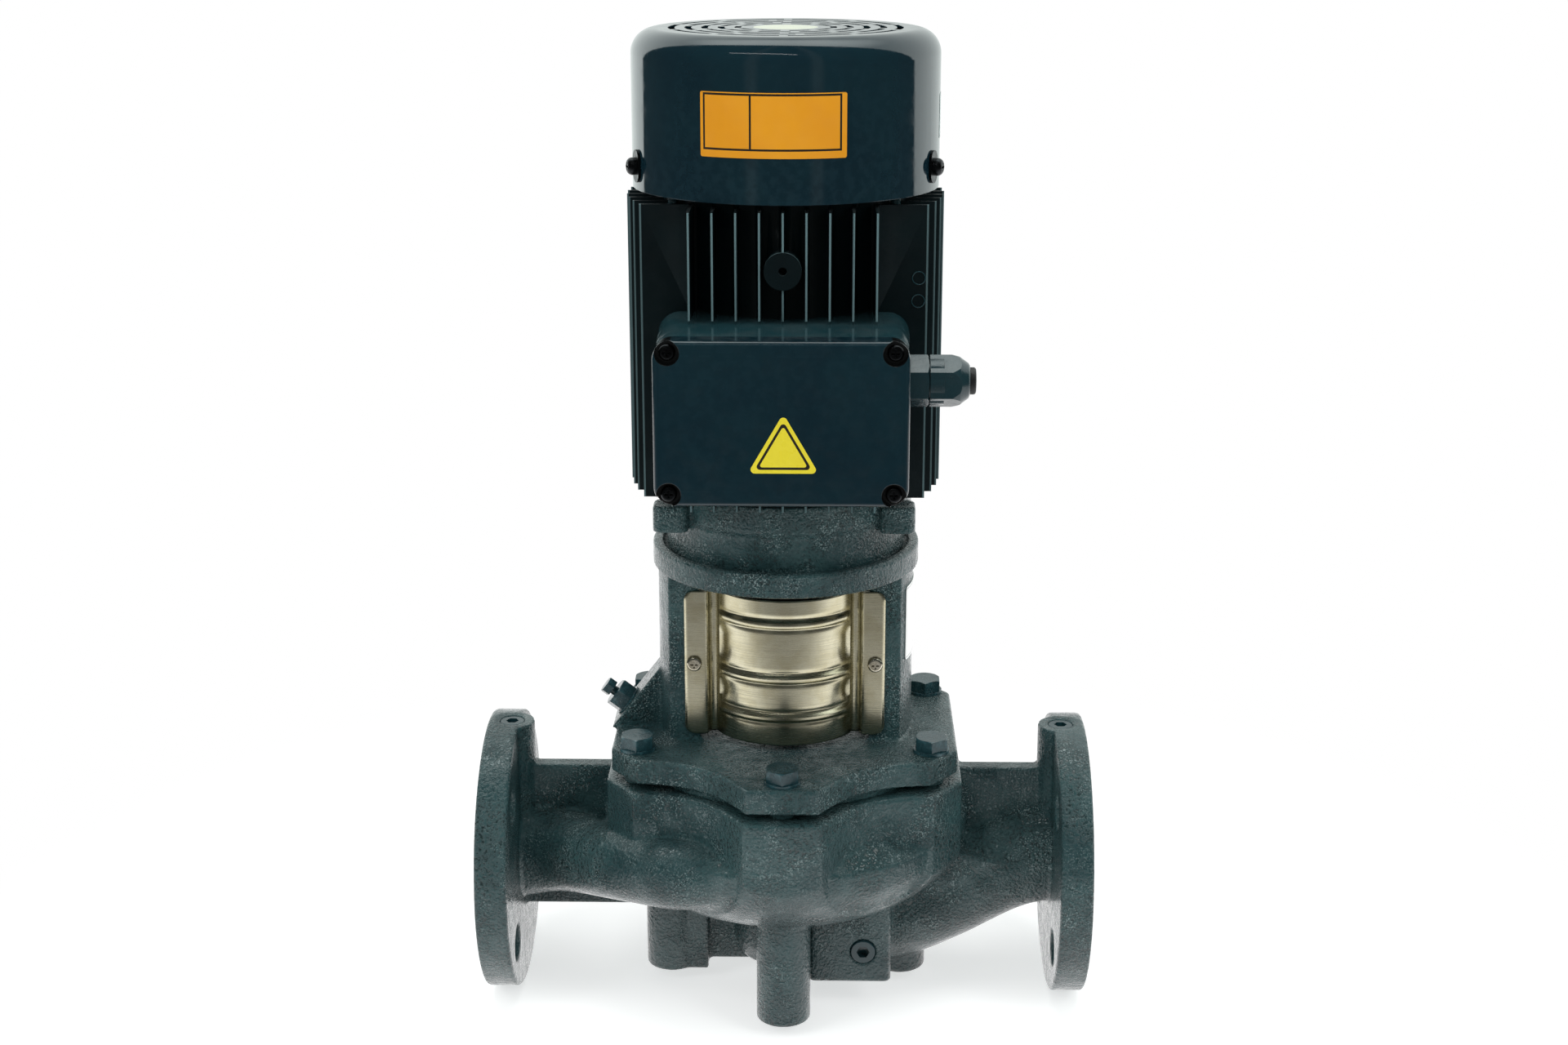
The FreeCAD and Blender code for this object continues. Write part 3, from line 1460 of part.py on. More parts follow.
def cooling_fan():
    """Radial fan: hub, back disc and straight blades."""
    disc = cylinder(fan_r * 0.78, fan_z, fan_z + fan_disc_t)
    hub = cylinder(fan_hub_r, fan_z, circlip_z())
    half = fan_blade_t / 2
    blade = box(fan_hub_r - 1, fan_r, -half, half, fan_z, fan_z + fan_disc_t + fan_blade_h - 2)
    outer = [e for e in blade.Edges if e.BoundBox.XMin > fan_r - 0.1]
    corner = [e for e in outer if abs(e.tangentAt(e.FirstParameter).y) > 0.9]
    blade = blade.makeFillet(6.0, corner)
    body = disc.fuse([hub] + around(blade, even_angles(fan_blade_count)))
    return body.cut(cylinder(fan_seat_r, fan_z - 1, circlip_z() + 1)).removeSplitter()


def fan_circlip():
    clip_z = circlip_z()
    clip = ring(fan_seat_r + 2.2, fan_seat_r - 0.8, clip_z, clip_z + 1.2)
    return clip.cut(box(0, fan_seat_r + 3, -3.0, 3.0, clip_z - 1, clip_z + 2))


def top_circles(shape, top):
    """Edges of a round body that lie in its top plane."""
    return [e for e in shape.Edges if e.BoundBox.ZMin > top - 0.01]


def fan_cowl():
    """Pressed fan cowl with a rounded shoulder and rings of air slots on top."""
    outer = cylinder(cowl_r, cowl_z, cowl_top_z)
    outer = outer.makeFillet(cowl_shoulder_r, top_circles(outer, cowl_top_z))
    inner = cylinder(cowl_r - cowl_t, cowl_z - 1, cowl_top_z - cowl_t)
    inner = inner.makeFillet(cowl_shoulder_r - cowl_t, top_circles(inner, cowl_top_z - cowl_t))
    shell = outer.cut(inner)
    voids = []
    for i in range(grille_ring_count):
        radius = grille_inner_r + grille_pitch * i
        voids += around(grille_slot(radius), even_angles(grille_slots_per_ring, 9.0 * (i % 2)))
    z = cowl_z + cowl_screw_rise
    hole = rod(cowl_screw_r + running_gap, V(cowl_r - 4, 0, z), V(cowl_r + 2, 0, z))
    voids += around(hole, cowl_screw_angles())
    return shell.cut(voids)


def grille_slot(radius):
    """Curved air slot spanning most of its share of a ring."""
    span = 360.0 / grille_slots_per_ring - math.degrees(4.0 / radius)
    low = cowl_top_z - cowl_t - 1
    outline = []
    inner = radius
    outer = radius + grille_slot_w
    ends = [math.radians(-span / 2), 0.0, math.radians(span / 2)]
    a, b, c = [V(inner * math.cos(t), inner * math.sin(t), low) for t in ends]
    d, e, f = [V(outer * math.cos(t), outer * math.sin(t), low) for t in ends]
    outline.append(Part.Arc(a, b, c).toShape())
    outline.append(Part.makeLine(c, f))
    outline.append(Part.Arc(f, e, d).toShape())
    outline.append(Part.makeLine(d, a))
    return Part.Face(Part.Wire(outline)).extrude(V(0, 0, cowl_t + 2))


def cowl_washers():
    """Oval washers under the cowl screws."""
    half_w = cowl_washer_w / 2
    half_h = cowl_washer_h / 2
    plate = box(0, cowl_washer_t, -half_w, half_w, -half_h, half_h)
    corners = [e for e in plate.Edges if abs(e.tangentAt(e.FirstParameter).x) > 0.9]
    plate = plate.makeFillet(half_w - 0.05, corners)
    plate = plate.cut(rod(cowl_screw_r + running_gap, V(-1, 0, 0), V(3, 0, 0)))
    seated = moved(plate, cowl_r, 0, cowl_z + cowl_screw_rise)
    return group(around(seated, cowl_screw_angles()))


def cowl_screws():
    screw = pan_head(cowl_screw_head_r, 0, cowl_screw_head_h).fuse(cylinder(cowl_screw_r, -11.0, 0.5))
    spot = V(cowl_r + cowl_washer_t, 0, cowl_z + cowl_screw_rise)
    return group(around(pointed(screw, spot, V(1, 0, 0)), cowl_screw_angles()))


def plate_section(width, height, corner, y):
    """Rounded rectangle in a plane square to Y, centred on the terminal box."""
    block = Part.makeBox(width, 1, height, V(-width / 2, y, box_z - height / 2))
    edges = [e for e in block.Edges if abs(e.tangentAt(e.FirstParameter).y) > 0.9]
    face = [f for f in block.makeFillet(corner, edges).Faces if abs(f.CenterOfMass.y - y) < 0.01]
    return face[0].OuterWire


def box_lid_y():
    return -box_front + box_lid_depth


def box_inside():
    """Width and height of the space inside the box walls."""
    return box_w - 1.0 - 2 * box_wall, box_h - 1.0 - 2 * box_wall


def terminal_box():
    """Terminal box base: drafted walls, back wall on the pad and a rear skirt."""
    mouth_y = box_lid_y() + box_gasket_t
    mouth = plate_section(box_w - 1.0, box_h - 1.0, box_corner_r, mouth_y)
    back_w = box_w - 1.0 + 2 * box_draft
    back_h = box_h - 1.0 + 2 * box_draft
    back = plate_section(back_w, back_h, box_corner_r + box_draft, -box_skirt_front)
    outer = Part.makeLoft([mouth, back], True)
    inside_w, inside_h = box_inside()
    inside = plate_section(inside_w, inside_h, box_corner_r - box_wall, mouth_y - 1)
    floor = plate_section(inside_w, inside_h, box_corner_r - box_wall, -box_pad_front - box_wall)
    cavity = Part.makeLoft([inside, floor], True)
    half_w = inside_w / 2 + 1.0
    half_h = inside_h / 2 + 1.0
    skirt = box(-half_w, half_w, -box_pad_front, 0, box_z - half_h, box_z + half_h)
    corner_posts = []
    for x, z in lid_screw_spots():
        post = rod(5.0, V(x, mouth_y, z), V(x, -box_pad_front - box_wall / 2, z))
        corner_posts.append(post.common(outer))
    body = outer.cut([cavity, skirt, cylinder(frame_r + side_gap, box_z - box_h, box_z + box_h)])
    body = body.fuse(corner_posts)
    through = V(0, -box_wall - 2.0, 0)
    back_y = -box_pad_front + 1
    voids = [rod(wire_hole_r, V(0, back_y, box_z), V(0, back_y, box_z) + through)]
    voids += [rod(box_screw_r, V(x, mouth_y - 1, z), V(x, mouth_y + 14.0, z)) for x, z in lid_screw_spots()]
    for x, z in box_mount_spots():
        voids.append(rod(box_screw_r + 0.25, V(x, back_y, z), V(x, back_y, z) + through))
    z = gland_z()
    voids.append(rod(gland_thread_r, V(box_inner_x() - 9, -gland_y, z), V(box_w, -gland_y, z)))
    voids.append(rod(gland_af / math.sqrt(3) + bolt_clearance, gland_origin(), V(box_w, -gland_y, z)))
    return body.cut(voids).removeSplitter()


def gland_z():
    return box_z + gland_rise


def lid_screw_spots():
    x = box_w / 2 - box_screw_side
    z = box_h / 2 - box_screw_top
    return [(sx * x, box_z + sz * z) for sx in (1, -1) for sz in (1, -1)]


def terminal_box_gasket():
    """Flat seal between the box and its lid."""
    y = box_lid_y()
    outer = Part.Face(plate_section(box_w - 2.0, box_h - 2.0, box_corner_r - 0.5, y))
    outer = outer.extrude(V(0, box_gasket_t, 0))
    inner = Part.Face(plate_section(*box_inside(), box_corner_r - box_wall, y - 1))
    inner = inner.extrude(V(0, box_gasket_t + 2, 0))
    body = outer.cut(inner)
    pads = [rod(4.8, V(x, y, z), V(x, y + box_gasket_t, z)).common(outer) for x, z in lid_screw_spots()]
    body = body.fuse(pads)
    holes = [rod(box_screw_r + 0.2, V(x, y - 1, z), V(x, y + 4, z)) for x, z in lid_screw_spots()]
    return body.cut(holes).removeSplitter()


def terminal_box_lid():
    """Moulded lid with a softened front edge and four sunk screw seats."""
    y = -box_front
    shell = Part.Face(plate_section(box_w, box_h, box_corner_r, y)).extrude(V(0, box_lid_depth, 0))
    front = [e for e in shell.Edges if e.BoundBox.YMax < y + 0.01]
    shell = shell.makeFillet(2.2, front)
    hollow = Part.Face(plate_section(*box_inside(), box_corner_r - box_wall, y + 3.0))
    shell = shell.cut(hollow.extrude(V(0, box_lid_depth, 0)))
    post_y = V(0, y + 2, 0)
    back_y = V(0, y + box_lid_depth, 0)
    spots = [V(x, 0, z) for x, z in lid_screw_spots()]
    posts = [rod(box_recess_r + 2.0, spot + post_y, spot + back_y) for spot in spots]
    outline = Part.Face(plate_section(box_w, box_h, box_corner_r, y)).extrude(V(0, box_lid_depth, 0))
    shell = shell.fuse([p.common(outline) for p in posts])
    voids = []
    for x, z in lid_screw_spots():
        voids.append(rod(box_recess_r, V(x, y - 1, z), V(x, y + box_recess_depth, z)))
        voids.append(rod(box_screw_r + 0.25, V(x, y, z), V(x, y + box_lid_depth + 1, z)))
    return shell.cut(voids).removeSplitter()


def lid_screws():
    seat = -box_front + box_recess_depth
    length = box_lid_depth - box_recess_depth + box_gasket_t + 12.0
    screw = pan_head(box_screw_head_r, 0, 2.6).fuse(cylinder(box_screw_r, -length, 0.5))
    return group([pointed(screw, V(x, seat, z), V(0, -1, 0)) for x, z in lid_screw_spots()])


def terminal_box_screws():
    """Screws inside the box that hold it to the motor frame."""
    seat = -box_pad_front - box_wall
    screw = pan_head(box_screw_head_r, 0, 2.6).fuse(cylinder(box_screw_r, -box_wall - 7.0, 0.5))
    return group([pointed(screw, V(x, seat, z), V(0, -1, 0)) for x, z in box_mount_spots()])


def terminal_block():
    """Insulating block that carries the six terminal studs."""
    back = -box_pad_front - box_wall
    y0 = back - block_t
    base_z = box_z + 12.0
    block = box(-block_w / 2, block_w / 2, y0, back, base_z - block_h / 2 + 3, base_z + block_h / 2 + 3)
    wall = box(-1.2, 1.2, y0 - 5.0, y0 + 1, base_z - block_h / 2 + 3, base_z + block_h / 2 + 3)
    walls = [moved(wall, x, 0, 0) for x in (-stud_pitch / 2, stud_pitch / 2)]
    body = block.fuse(walls)
    body = body.cut(rod(wire_hole_r, V(0, back + 1, box_z), V(0, back - 3, box_z)))
    holes = [rod(stud_r, V(x, y0 - 1, z), V(x, back - 4.0, z)) for x, z in stud_spots()]
    return body.cut(holes).removeSplitter()


def stud_spots():
    middle = box_z + 15.0
    return [(i * stud_pitch, middle + side * stud_row_gap / 2) for i in (-1, 0, 1) for side in (1, -1)]


def terminal_studs():
    """Six brass studs with their nuts, and the flat links joining each pair."""
    y0 = -box_pad_front - box_wall - block_t
    studs = []
    for x, z in stud_spots():
        stud = cylinder(stud_r, -block_t + 4.0, stud_reach).fuse(hexagon(7.0, 1.0, 4.0))
        studs.append(pointed(stud, V(x, y0, z), V(0, -1, 0)))
    middle = box_z + 15.0
    links = []
    for i in (-1, 0, 1):
        x = i * stud_pitch
        reach = stud_row_gap / 2 + 4
        link = box(x - 3.5, x + 3.5, y0 - 1.0, y0, middle - reach, middle + reach)
        links.append(link.cut([rod(stud_r, V(sx, y0 - 2, z), V(sx, y0 + 1, z)) for sx, z in stud_spots()]))
    return group(studs + links)


def gland_origin():
    """Middle of the spot face in the drafted box wall that the gland seats on."""
    mouth_y = box_front - box_lid_depth - box_gasket_t
    share = (mouth_y - gland_y) / (mouth_y - box_skirt_front)
    x = (box_w - 1.0) / 2 + box_draft * share - gland_spot_depth
    return V(x, -gland_y, gland_z())


def box_inner_x():
    """Inner face of the upright box wall beside the gland."""
    return box_inside()[0] / 2


def gland_body():
    """Gland body: thread through the wall, hexagon and a threaded collar."""
    thread = cylinder(gland_thread_r, -box_wall - 6.5, 0.5)
    head = bolt_head(gland_af, 0, gland_hex_h)
    head = head.fuse(cylinder(gland_thread_r + 1.6, 0, gland_hex_h + 8.0))
    body = thread.fuse(head)
    body = body.cut(cylinder(gland_bore_r, -30, 30))
    body = body.cut(cylinder(gland_thread_r, gland_hex_h + 1.0, 30))
    return pointed(body, gland_origin(), V(1, 0, 0))


def gland_locknut():
    inner = box_inner_x() - gland_origin().x
    nut = hexagon(gland_af - 2.0, inner - 4.0, inner)
    nut = nut.cut(cylinder(gland_thread_r, inner - 5, inner + 1))
    return pointed(nut, gland_origin(), V(1, 0, 0))


def gland_nut():
    """Domed clamping nut of the gland."""
    low = gland_hex_h + 0.4
    high = low + gland_nut_h
    rim = gland_af / math.sqrt(3)
    dome = revolved([
        (0, low),
        (rim, low),
        (rim, low + gland_nut_h * 0.55),
        (rim - 1.2, low + gland_nut_h * 0.75),
        (rim - 4.2, high - 0.6),
        (rim - 5.2, high),
        (0, high),
    ])
    nut = hexagon(gland_af, low, high).common(dome)
    nut = nut.fuse(cylinder(gland_af / 2 + 0.5, low, low + gland_nut_h * 0.35))
    nut = nut.cut(cylinder(gland_thread_r + 1.6, low - 1, gland_hex_h + 8.4))
    return pointed(nut.cut(cylinder(gland_bore_r, low, high + 1)), gland_origin(), V(1, 0, 0))


def gland_seal():
    """Rubber insert that grips the cable in the gland."""
    low = gland_hex_h + 1.5
    high = gland_hex_h + 0.4 + gland_nut_h + gland_seal_reach
    seal = cylinder(gland_bore_r, low, high)
    seal = seal.makeFillet(1.2, [e for e in seal.Edges if e.BoundBox.ZMin > high - 0.01 and e.Length > 20])
    flange = cylinder(gland_thread_r, low, gland_hex_h + 8.0)
    seal = seal.fuse(flange)
    return pointed(seal.cut(cylinder(cable_bore_r, low - 1, high + 1)), gland_origin(), V(1, 0, 0))


PIECES = {
    "volute_casing": volute_casing,
    "casing_wear_ring": casing_wear_ring,
    "casing_o_ring": casing_o_ring,
    "pipe_plugs": pipe_plugs,
    "motor_stool": motor_stool,
    "stool_bolts": stool_bolts,
    "stool_washers": stool_washers,
    "vent_plug": vent_plug,
    "vent_plug_washer": vent_plug_washer,
    "vent_screw": vent_screw,
    "guard_front": guard_sheet,
    "guard_rear": guard_rear_sheet,
    "guard_screws": guard_screws,
    "seal_seat": seal_seat,
    "seal_seat_cup": seal_seat_cup,
    "seal_face": seal_face,
    "seal_bellows": seal_bellows,
    "seal_spring": seal_spring,
    "pump_shaft": pump_shaft,
    "impeller": impeller,
    "impeller_key": impeller_key,
    "impeller_washer": impeller_washer,
    "impeller_nut": impeller_nut,
    "coupling_half_front": coupling_half,
    "coupling_half_rear": coupling_half_rear,
    "coupling_screws": coupling_screws,
    "motor_end_shield": motor_end_shield,
    "motor_flange_bolts": motor_flange_bolts,
    "shaft_oil_seal": shaft_oil_seal,
    "bearing_outer_races": bearing_outer_races,
    "bearing_inner_races": bearing_inner_races,
    "lower_bearing_balls": lambda: bearing_balls(lower_bearing_z),
    "lower_bearing_cage": lambda: bearing_cage(lower_bearing_z),
    "upper_bearing_balls": lambda: bearing_balls(upper_bearing_z),
    "upper_bearing_cage": lambda: bearing_cage(upper_bearing_z),
    "bearing_preload_spring": bearing_wave_spring,
    "motor_frame": motor_frame,
    "stator_core": stator_core,
    "stator_windings": stator_windings,
    "rotor_core": rotor_core,
    "rotor_end_rings": rotor_end_rings,
    "motor_shaft": motor_shaft,
    "rear_end_shield": rear_end_shield,
    "tie_bolts": tie_bolts,
    "cooling_fan": cooling_fan,
    "fan_circlip": fan_circlip,
    "fan_cowl": fan_cowl,
    "cowl_screws": cowl_screws,
    "cowl_washers": cowl_washers,
    "terminal_box": terminal_box,
    "terminal_box_screws": terminal_box_screws,
    "terminal_box_lid": terminal_box_lid,
    "terminal_box_gasket": terminal_box_gasket,
    "lid_screws": lid_screws,
    "terminal_block": terminal_block,
    "terminal_studs": terminal_studs,
    "gland_body": gland_body,
    "gland_locknut": gland_locknut,
    "gland_nut": gland_nut,
    "gland_seal": gland_seal,
}


def main():
    os.makedirs("parts", exist_ok=True)
    for name, build in PIECES.items():
        build().exportStep("parts/" + name + ".step")


main()
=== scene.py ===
import logging
import math
from dataclasses import dataclass
from enum import Enum
from typing import Dict, List, Optional, Sequence, Tuple

import bmesh
import bpy
from mathutils import Matrix, Vector


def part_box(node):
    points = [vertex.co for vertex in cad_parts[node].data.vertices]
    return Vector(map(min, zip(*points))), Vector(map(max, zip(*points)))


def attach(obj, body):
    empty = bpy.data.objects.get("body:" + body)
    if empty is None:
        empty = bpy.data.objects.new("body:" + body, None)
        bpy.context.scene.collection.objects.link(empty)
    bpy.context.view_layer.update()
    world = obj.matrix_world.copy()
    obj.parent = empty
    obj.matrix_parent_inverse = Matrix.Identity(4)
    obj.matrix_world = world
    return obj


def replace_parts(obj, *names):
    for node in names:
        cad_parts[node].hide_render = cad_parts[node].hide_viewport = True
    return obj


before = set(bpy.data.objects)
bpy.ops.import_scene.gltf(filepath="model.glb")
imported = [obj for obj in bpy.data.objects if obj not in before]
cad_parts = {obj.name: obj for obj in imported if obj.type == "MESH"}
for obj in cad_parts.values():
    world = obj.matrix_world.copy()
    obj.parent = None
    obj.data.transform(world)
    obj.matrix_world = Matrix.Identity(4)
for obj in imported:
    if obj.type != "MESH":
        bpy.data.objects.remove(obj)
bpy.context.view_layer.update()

# Dressed model of a vertical in-line circulation pump. Metres throughout, in the frame of
# the solids: origin under the middle of the four feet, +Z up the shaft, +X out of the
# suction flange, -Y towards the terminal box.

log = logging.getLogger("circulation_pump")

Screen = Tuple[int, int, int]
Color = Tuple[float, float, float, float]
Material = bpy.types.Material
Node = bpy.types.Node
Socket = bpy.types.NodeSocket
Tree = bpy.types.NodeTree
EditMesh = bmesh.types.BMesh
Outline = List[Tuple[Vector, float]]
MM = 0.001
FLANGE_LOW = -7.0 * MM
COWL = 76.7 * MM


class Side(Enum):
    """Which way a repeated piece faces."""

    FRONT = 0
    REAR = 180


@dataclass(frozen=True)
class Fins:
    """Fins of the motor frame, measured from the shaft.

    Attributes:
        front_pitch: Distance between the fins of the front and the rear.
        side_pitch: Distance between the fins of the flanks.
        front_tip: Distance of the front and rear tips.
        side_tip: Distance of the middle flank fin's tip.
        side_drop: How much shorter the next flank fin is.
    """

    front_pitch: float = 11.2 * MM
    side_pitch: float = 11.9 * MM
    front_tip: float = 77.0 * MM
    side_tip: float = 79.5 * MM
    side_drop: float = 0.6 * MM


# Shader tools


class NodeSheet:
    """Places and joins shader nodes in one node tree."""

    def __init__(self, tree: Tree) -> None:
        """Starts from an emptied tree.

        Args:
            tree: Node tree of a material, a world or a group.
        """
        self.tree = tree
        tree.nodes.clear()

    def add(self, kind: str, options: Optional[dict] = None, **inputs: object) -> Node:
        """Adds a node and fills its inputs.

        Args:
            kind: Node type without its ShaderNode prefix.
            options: Settings of the node itself.
            inputs: Sockets by name, with _ for a space. A socket is joined, a value is set.

        Returns:
            The new node.
        """
        node = self.tree.nodes.new("ShaderNode" + kind)
        for key, value in (options or {}).items():
            setattr(node, key, value)
        return self.feed(node, **inputs)

    def feed(self, node: Node, **inputs: object) -> Node:
        """Fills inputs of a node.

        Args:
            node: The node.
            inputs: Sockets by name, as in add.

        Returns:
            The same node.
        """
        for key, value in inputs.items():
            self.fill(node.inputs[key.replace("_", " ")], value)
        return node

    def fill(self, socket: Socket, value: object) -> None:
        """Joins a socket to another one, or sets its value.

        Args:
            socket: Input socket.
            value: Output socket or plain value.
        """
        if isinstance(value, Socket):
            self.tree.links.new(value, socket)
        else:
            socket.default_value = value

    def math(self, operation: str, first: object, second: object = 0.0) -> Socket:
        """Adds a Math node.

        Args:
            operation: Math operation.
            first: First operand.
            second: Second operand.

        Returns:
            The result socket.
        """
        node = self.add("Math", {"operation": operation})
        for socket, value in zip(node.inputs, (first, second)):
            self.fill(socket, value)
        return node.outputs[0]

    def times(self, first: object, second: object) -> Socket:
        """Multiplies two values."""
        return self.math("MULTIPLY", first, second)

    def plus(self, first: object, second: object) -> Socket:
        """Adds two values."""
        return self.math("ADD", first, second)

    def minus(self, first: object, second: object) -> Socket:
        """Takes the second value from the first."""
        return self.math("SUBTRACT", first, second)

    def size(self, value: object) -> Socket:
        """Drops the sign of a value."""
        return self.math("ABSOLUTE", value)

    def blend(self, share: object, first: object, second: object) -> Socket:
        """Mixes two colours.

        Args:
            share: Share of the second colour.
            first: First colour.
            second: Second colour.

        Returns:
            The colour socket.
        """
        node = self.add("Mix", {"data_type": "RGBA"})
        self.fill(node.inputs[0], share)
        self.fill(node.inputs[6], first)
        self.fill(node.inputs[7], second)
        return node.outputs[2]

    def between(self, value: object, low: float, high: float,
                to_low: float = 0.0, to_high: float = 1.0) -> Socket:
        """Maps a range of values smoothly onto another one.

        Args:
            value: Value socket.
            low: Start of the range.
            high: End of the range.
            to_low: Result at the start.
            to_high: Result at the end.

        Returns:
            The mapped value socket.
        """
        node = self.add("MapRange", {"interpolation_type": "SMOOTHSTEP"}, Value=value,
                        From_Min=low, From_Max=high, To_Min=to_low, To_Max=to_high)
        return node.outputs[0]

    def noise(self, position: object, scale: object, detail: float = 2.0,
              roughness: float = 0.5) -> Socket:
        """Adds a noise pattern.

        Args:
            position: Vector socket.
            scale: Features per metre.
            detail: Number of finer layers.
            roughness: Weight of the finer layers.

        Returns:
            The value socket, about 0 to 1.
        """
        node = self.add("TexNoise", Vector=position, Scale=scale, Detail=detail, Roughness=roughness)
        return node.outputs["Fac"]

    def effect(self, tree: Tree, **inputs: object) -> Node:
        """Places a shared effect group.

        Args:
            tree: The group's tree.
            inputs: Sockets by name, as in add.

        Returns:
            The group node.
        """
        return self.add("Group", {"node_tree": tree}, **inputs)


def open_group(name: str, inputs: Sequence[Tuple[str, str]],
               outputs: Sequence[Tuple[str, str]]) -> Tuple[NodeSheet, Dict[str, Socket], Node]:
    """Starts a shader node group with named sockets.

    Args:
        name: Name of the group.
        inputs: Name and kind (Float, Vector or Color) of each input.
        outputs: Name and kind of each output.

    Returns:
        The sheet, the sockets of the inputs by name and the node with the outputs.
    """
    tree = bpy.data.node_groups.new(name, "ShaderNodeTree")
    for way, sockets in (("INPUT", inputs), ("OUTPUT", outputs)):
        for label, kind in sockets:
            tree.interface.new_socket(label, in_out=way, socket_type="NodeSocket" + kind)
    sheet = NodeSheet(tree)
    given = {socket.name: socket for socket in tree.nodes.new("NodeGroupInput").outputs}
    return sheet, given, tree.nodes.new("NodeGroupOutput")


class Effects:
    """Shared surface effects, each built once as a node group."""

    def __init__(self) -> None:
        """Builds all the groups."""
        self.cast_skin = self.build_cast_skin()
        self.paint_flow = self.build_paint_flow()
        self.painted_edge_highlight = self.build_painted_edge_highlight()
        self.fine_streaks = self.build_fine_streaks()
        self.dust = self.build_dust()

    def build_cast_skin(self) -> Tree:
        """Sand-cast grain under paint: fine in dry places, drowned where paint pools. Its Pits output
        marks the painted shade in the grain's hollows, its Tips output the painted glints on its peaks.

        Returns:
            The group.
        """
        sheet, given, result = open_group(
            "cast_skin",
            [("Position", "Vector"), ("Grain", "Float"), ("Pooling", "Float")],
            [("Height", "Float"), ("Pits", "Float"), ("Tips", "Float")],
        )
        position = given["Position"]
        grain = given["Grain"]
        fine = sheet.noise(position, grain, 3.0, 0.6)
        lumps = sheet.noise(position, sheet.times(grain, 0.22), 2.0, 0.55)
        broad = sheet.noise(position, 34.0, 2.0, 0.6)
        pooled = sheet.between(broad, 0.42, 0.60)
        drowned = sheet.times(pooled, given["Pooling"])
        kept = sheet.minus(1.0, drowned)
        sharp = sheet.between(fine, 0.36, 0.62)
        height = sheet.plus(sheet.times(sharp, kept), sheet.times(lumps, 1.3))
        # Pits: the hollows of the fine grain, where the coat gets painted shade.
        pits = sheet.times(sheet.between(fine, 0.46, 0.37), kept)
        # Tips: clustered grain peaks, where the coat gets painted glints.
        clustered = sheet.between(sheet.noise(position, 60.0, 1.0, 0.5), 0.44, 0.62)
        sparks = sheet.noise(position, sheet.times(grain, 2.0), 1.0, 0.5)
        tips = sheet.times(sheet.times(sheet.between(sparks, 0.56, 0.66), kept), clustered)
        sheet.feed(result, Height=height, Pits=pits, Tips=tips)
        return sheet.tree

    def build_paint_flow(self) -> Tree:
        """Slow change of tone and gloss over a sprayed coat.

        Returns:
            The group.
        """
        sheet, given, result = open_group(
            "paint_flow",
            [("Position", "Vector"), ("Color", "Color"), ("Deep", "Color"), ("Gloss", "Float")],
            [("Color", "Color"), ("Roughness", "Float")],
        )
        position = given["Position"]
        slow = sheet.between(sheet.noise(position, 22.0, 3.0, 0.6), 0.32, 0.68)
        color = sheet.blend(slow, given["Color"], given["Deep"])
        spots = sheet.between(sheet.noise(position, 160.0, 2.0, 0.5), 0.35, 0.75, -0.04, 0.08)
        sheet.feed(result, Color=color, Roughness=sheet.plus(given["Gloss"], spots))
        return sheet.tree

    def build_painted_edge_highlight(self) -> Tree:
        """Painted highlight: a paler colour over sharp edges, broken by noise.

        Returns:
            The group.
        """
        sheet, given, result = open_group(
            "painted_edge_highlight",
            [("Position", "Vector"), ("Color", "Color"), ("Edge", "Color"), ("Amount", "Float")],
            [("Color", "Color")],
        )
        geometry = sheet.add("NewGeometry")
        ridge = sheet.between(geometry.outputs["Pointiness"], 0.52, 0.60)
        broken = sheet.between(sheet.noise(given["Position"], 240.0, 3.0, 0.6), 0.40, 0.62)
        mask = sheet.times(sheet.times(ridge, broken), given["Amount"])
        sheet.feed(result, Color=sheet.blend(mask, given["Color"], given["Edge"]))
        return sheet.tree

    def build_fine_streaks(self) -> Tree:
        """Brush or turning lines: noise drawn out along one direction.

        Returns:
            The group.
        """
        sheet, given, result = open_group(
            "fine_streaks",
            [("Position", "Vector"), ("Stretch", "Vector")],
            [("Streak", "Float"), ("Cloud", "Float")],
        )
        drawn = sheet.add("VectorMath", {"operation": "MULTIPLY"})
        sheet.fill(drawn.inputs[0], given["Position"])
        sheet.fill(drawn.inputs[1], given["Stretch"])
        streak = sheet.noise(drawn.outputs[0], 1.0, 3.0, 0.7)
        sheet.feed(result, Streak=streak, Cloud=sheet.noise(given["Position"], 90.0, 3.0, 0.6))
        return sheet.tree

    def build_dust(self) -> Tree:
        """Thin dust on faces that look up.

        Returns:
            The group.
        """
        sheet, given, result = open_group(
            "dust",
            [("Position", "Vector"), ("Color", "Color"), ("Amount", "Float")],
            [("Color", "Color")],
        )
        geometry = sheet.add("NewGeometry")
        parts = sheet.add("SeparateXYZ", Vector=geometry.outputs["Normal"])
        upward = sheet.between(parts.outputs["Z"], 0.6, 1.0)
        patchy = sheet.between(sheet.noise(given["Position"], 60.0, 4.0, 0.65), 0.35, 0.7)
        mask = sheet.times(sheet.times(upward, patchy), given["Amount"])
        sheet.feed(result, Color=sheet.blend(mask, given["Color"], (0.36, 0.35, 0.33, 1.0)))
        return sheet.tree


# Finishes


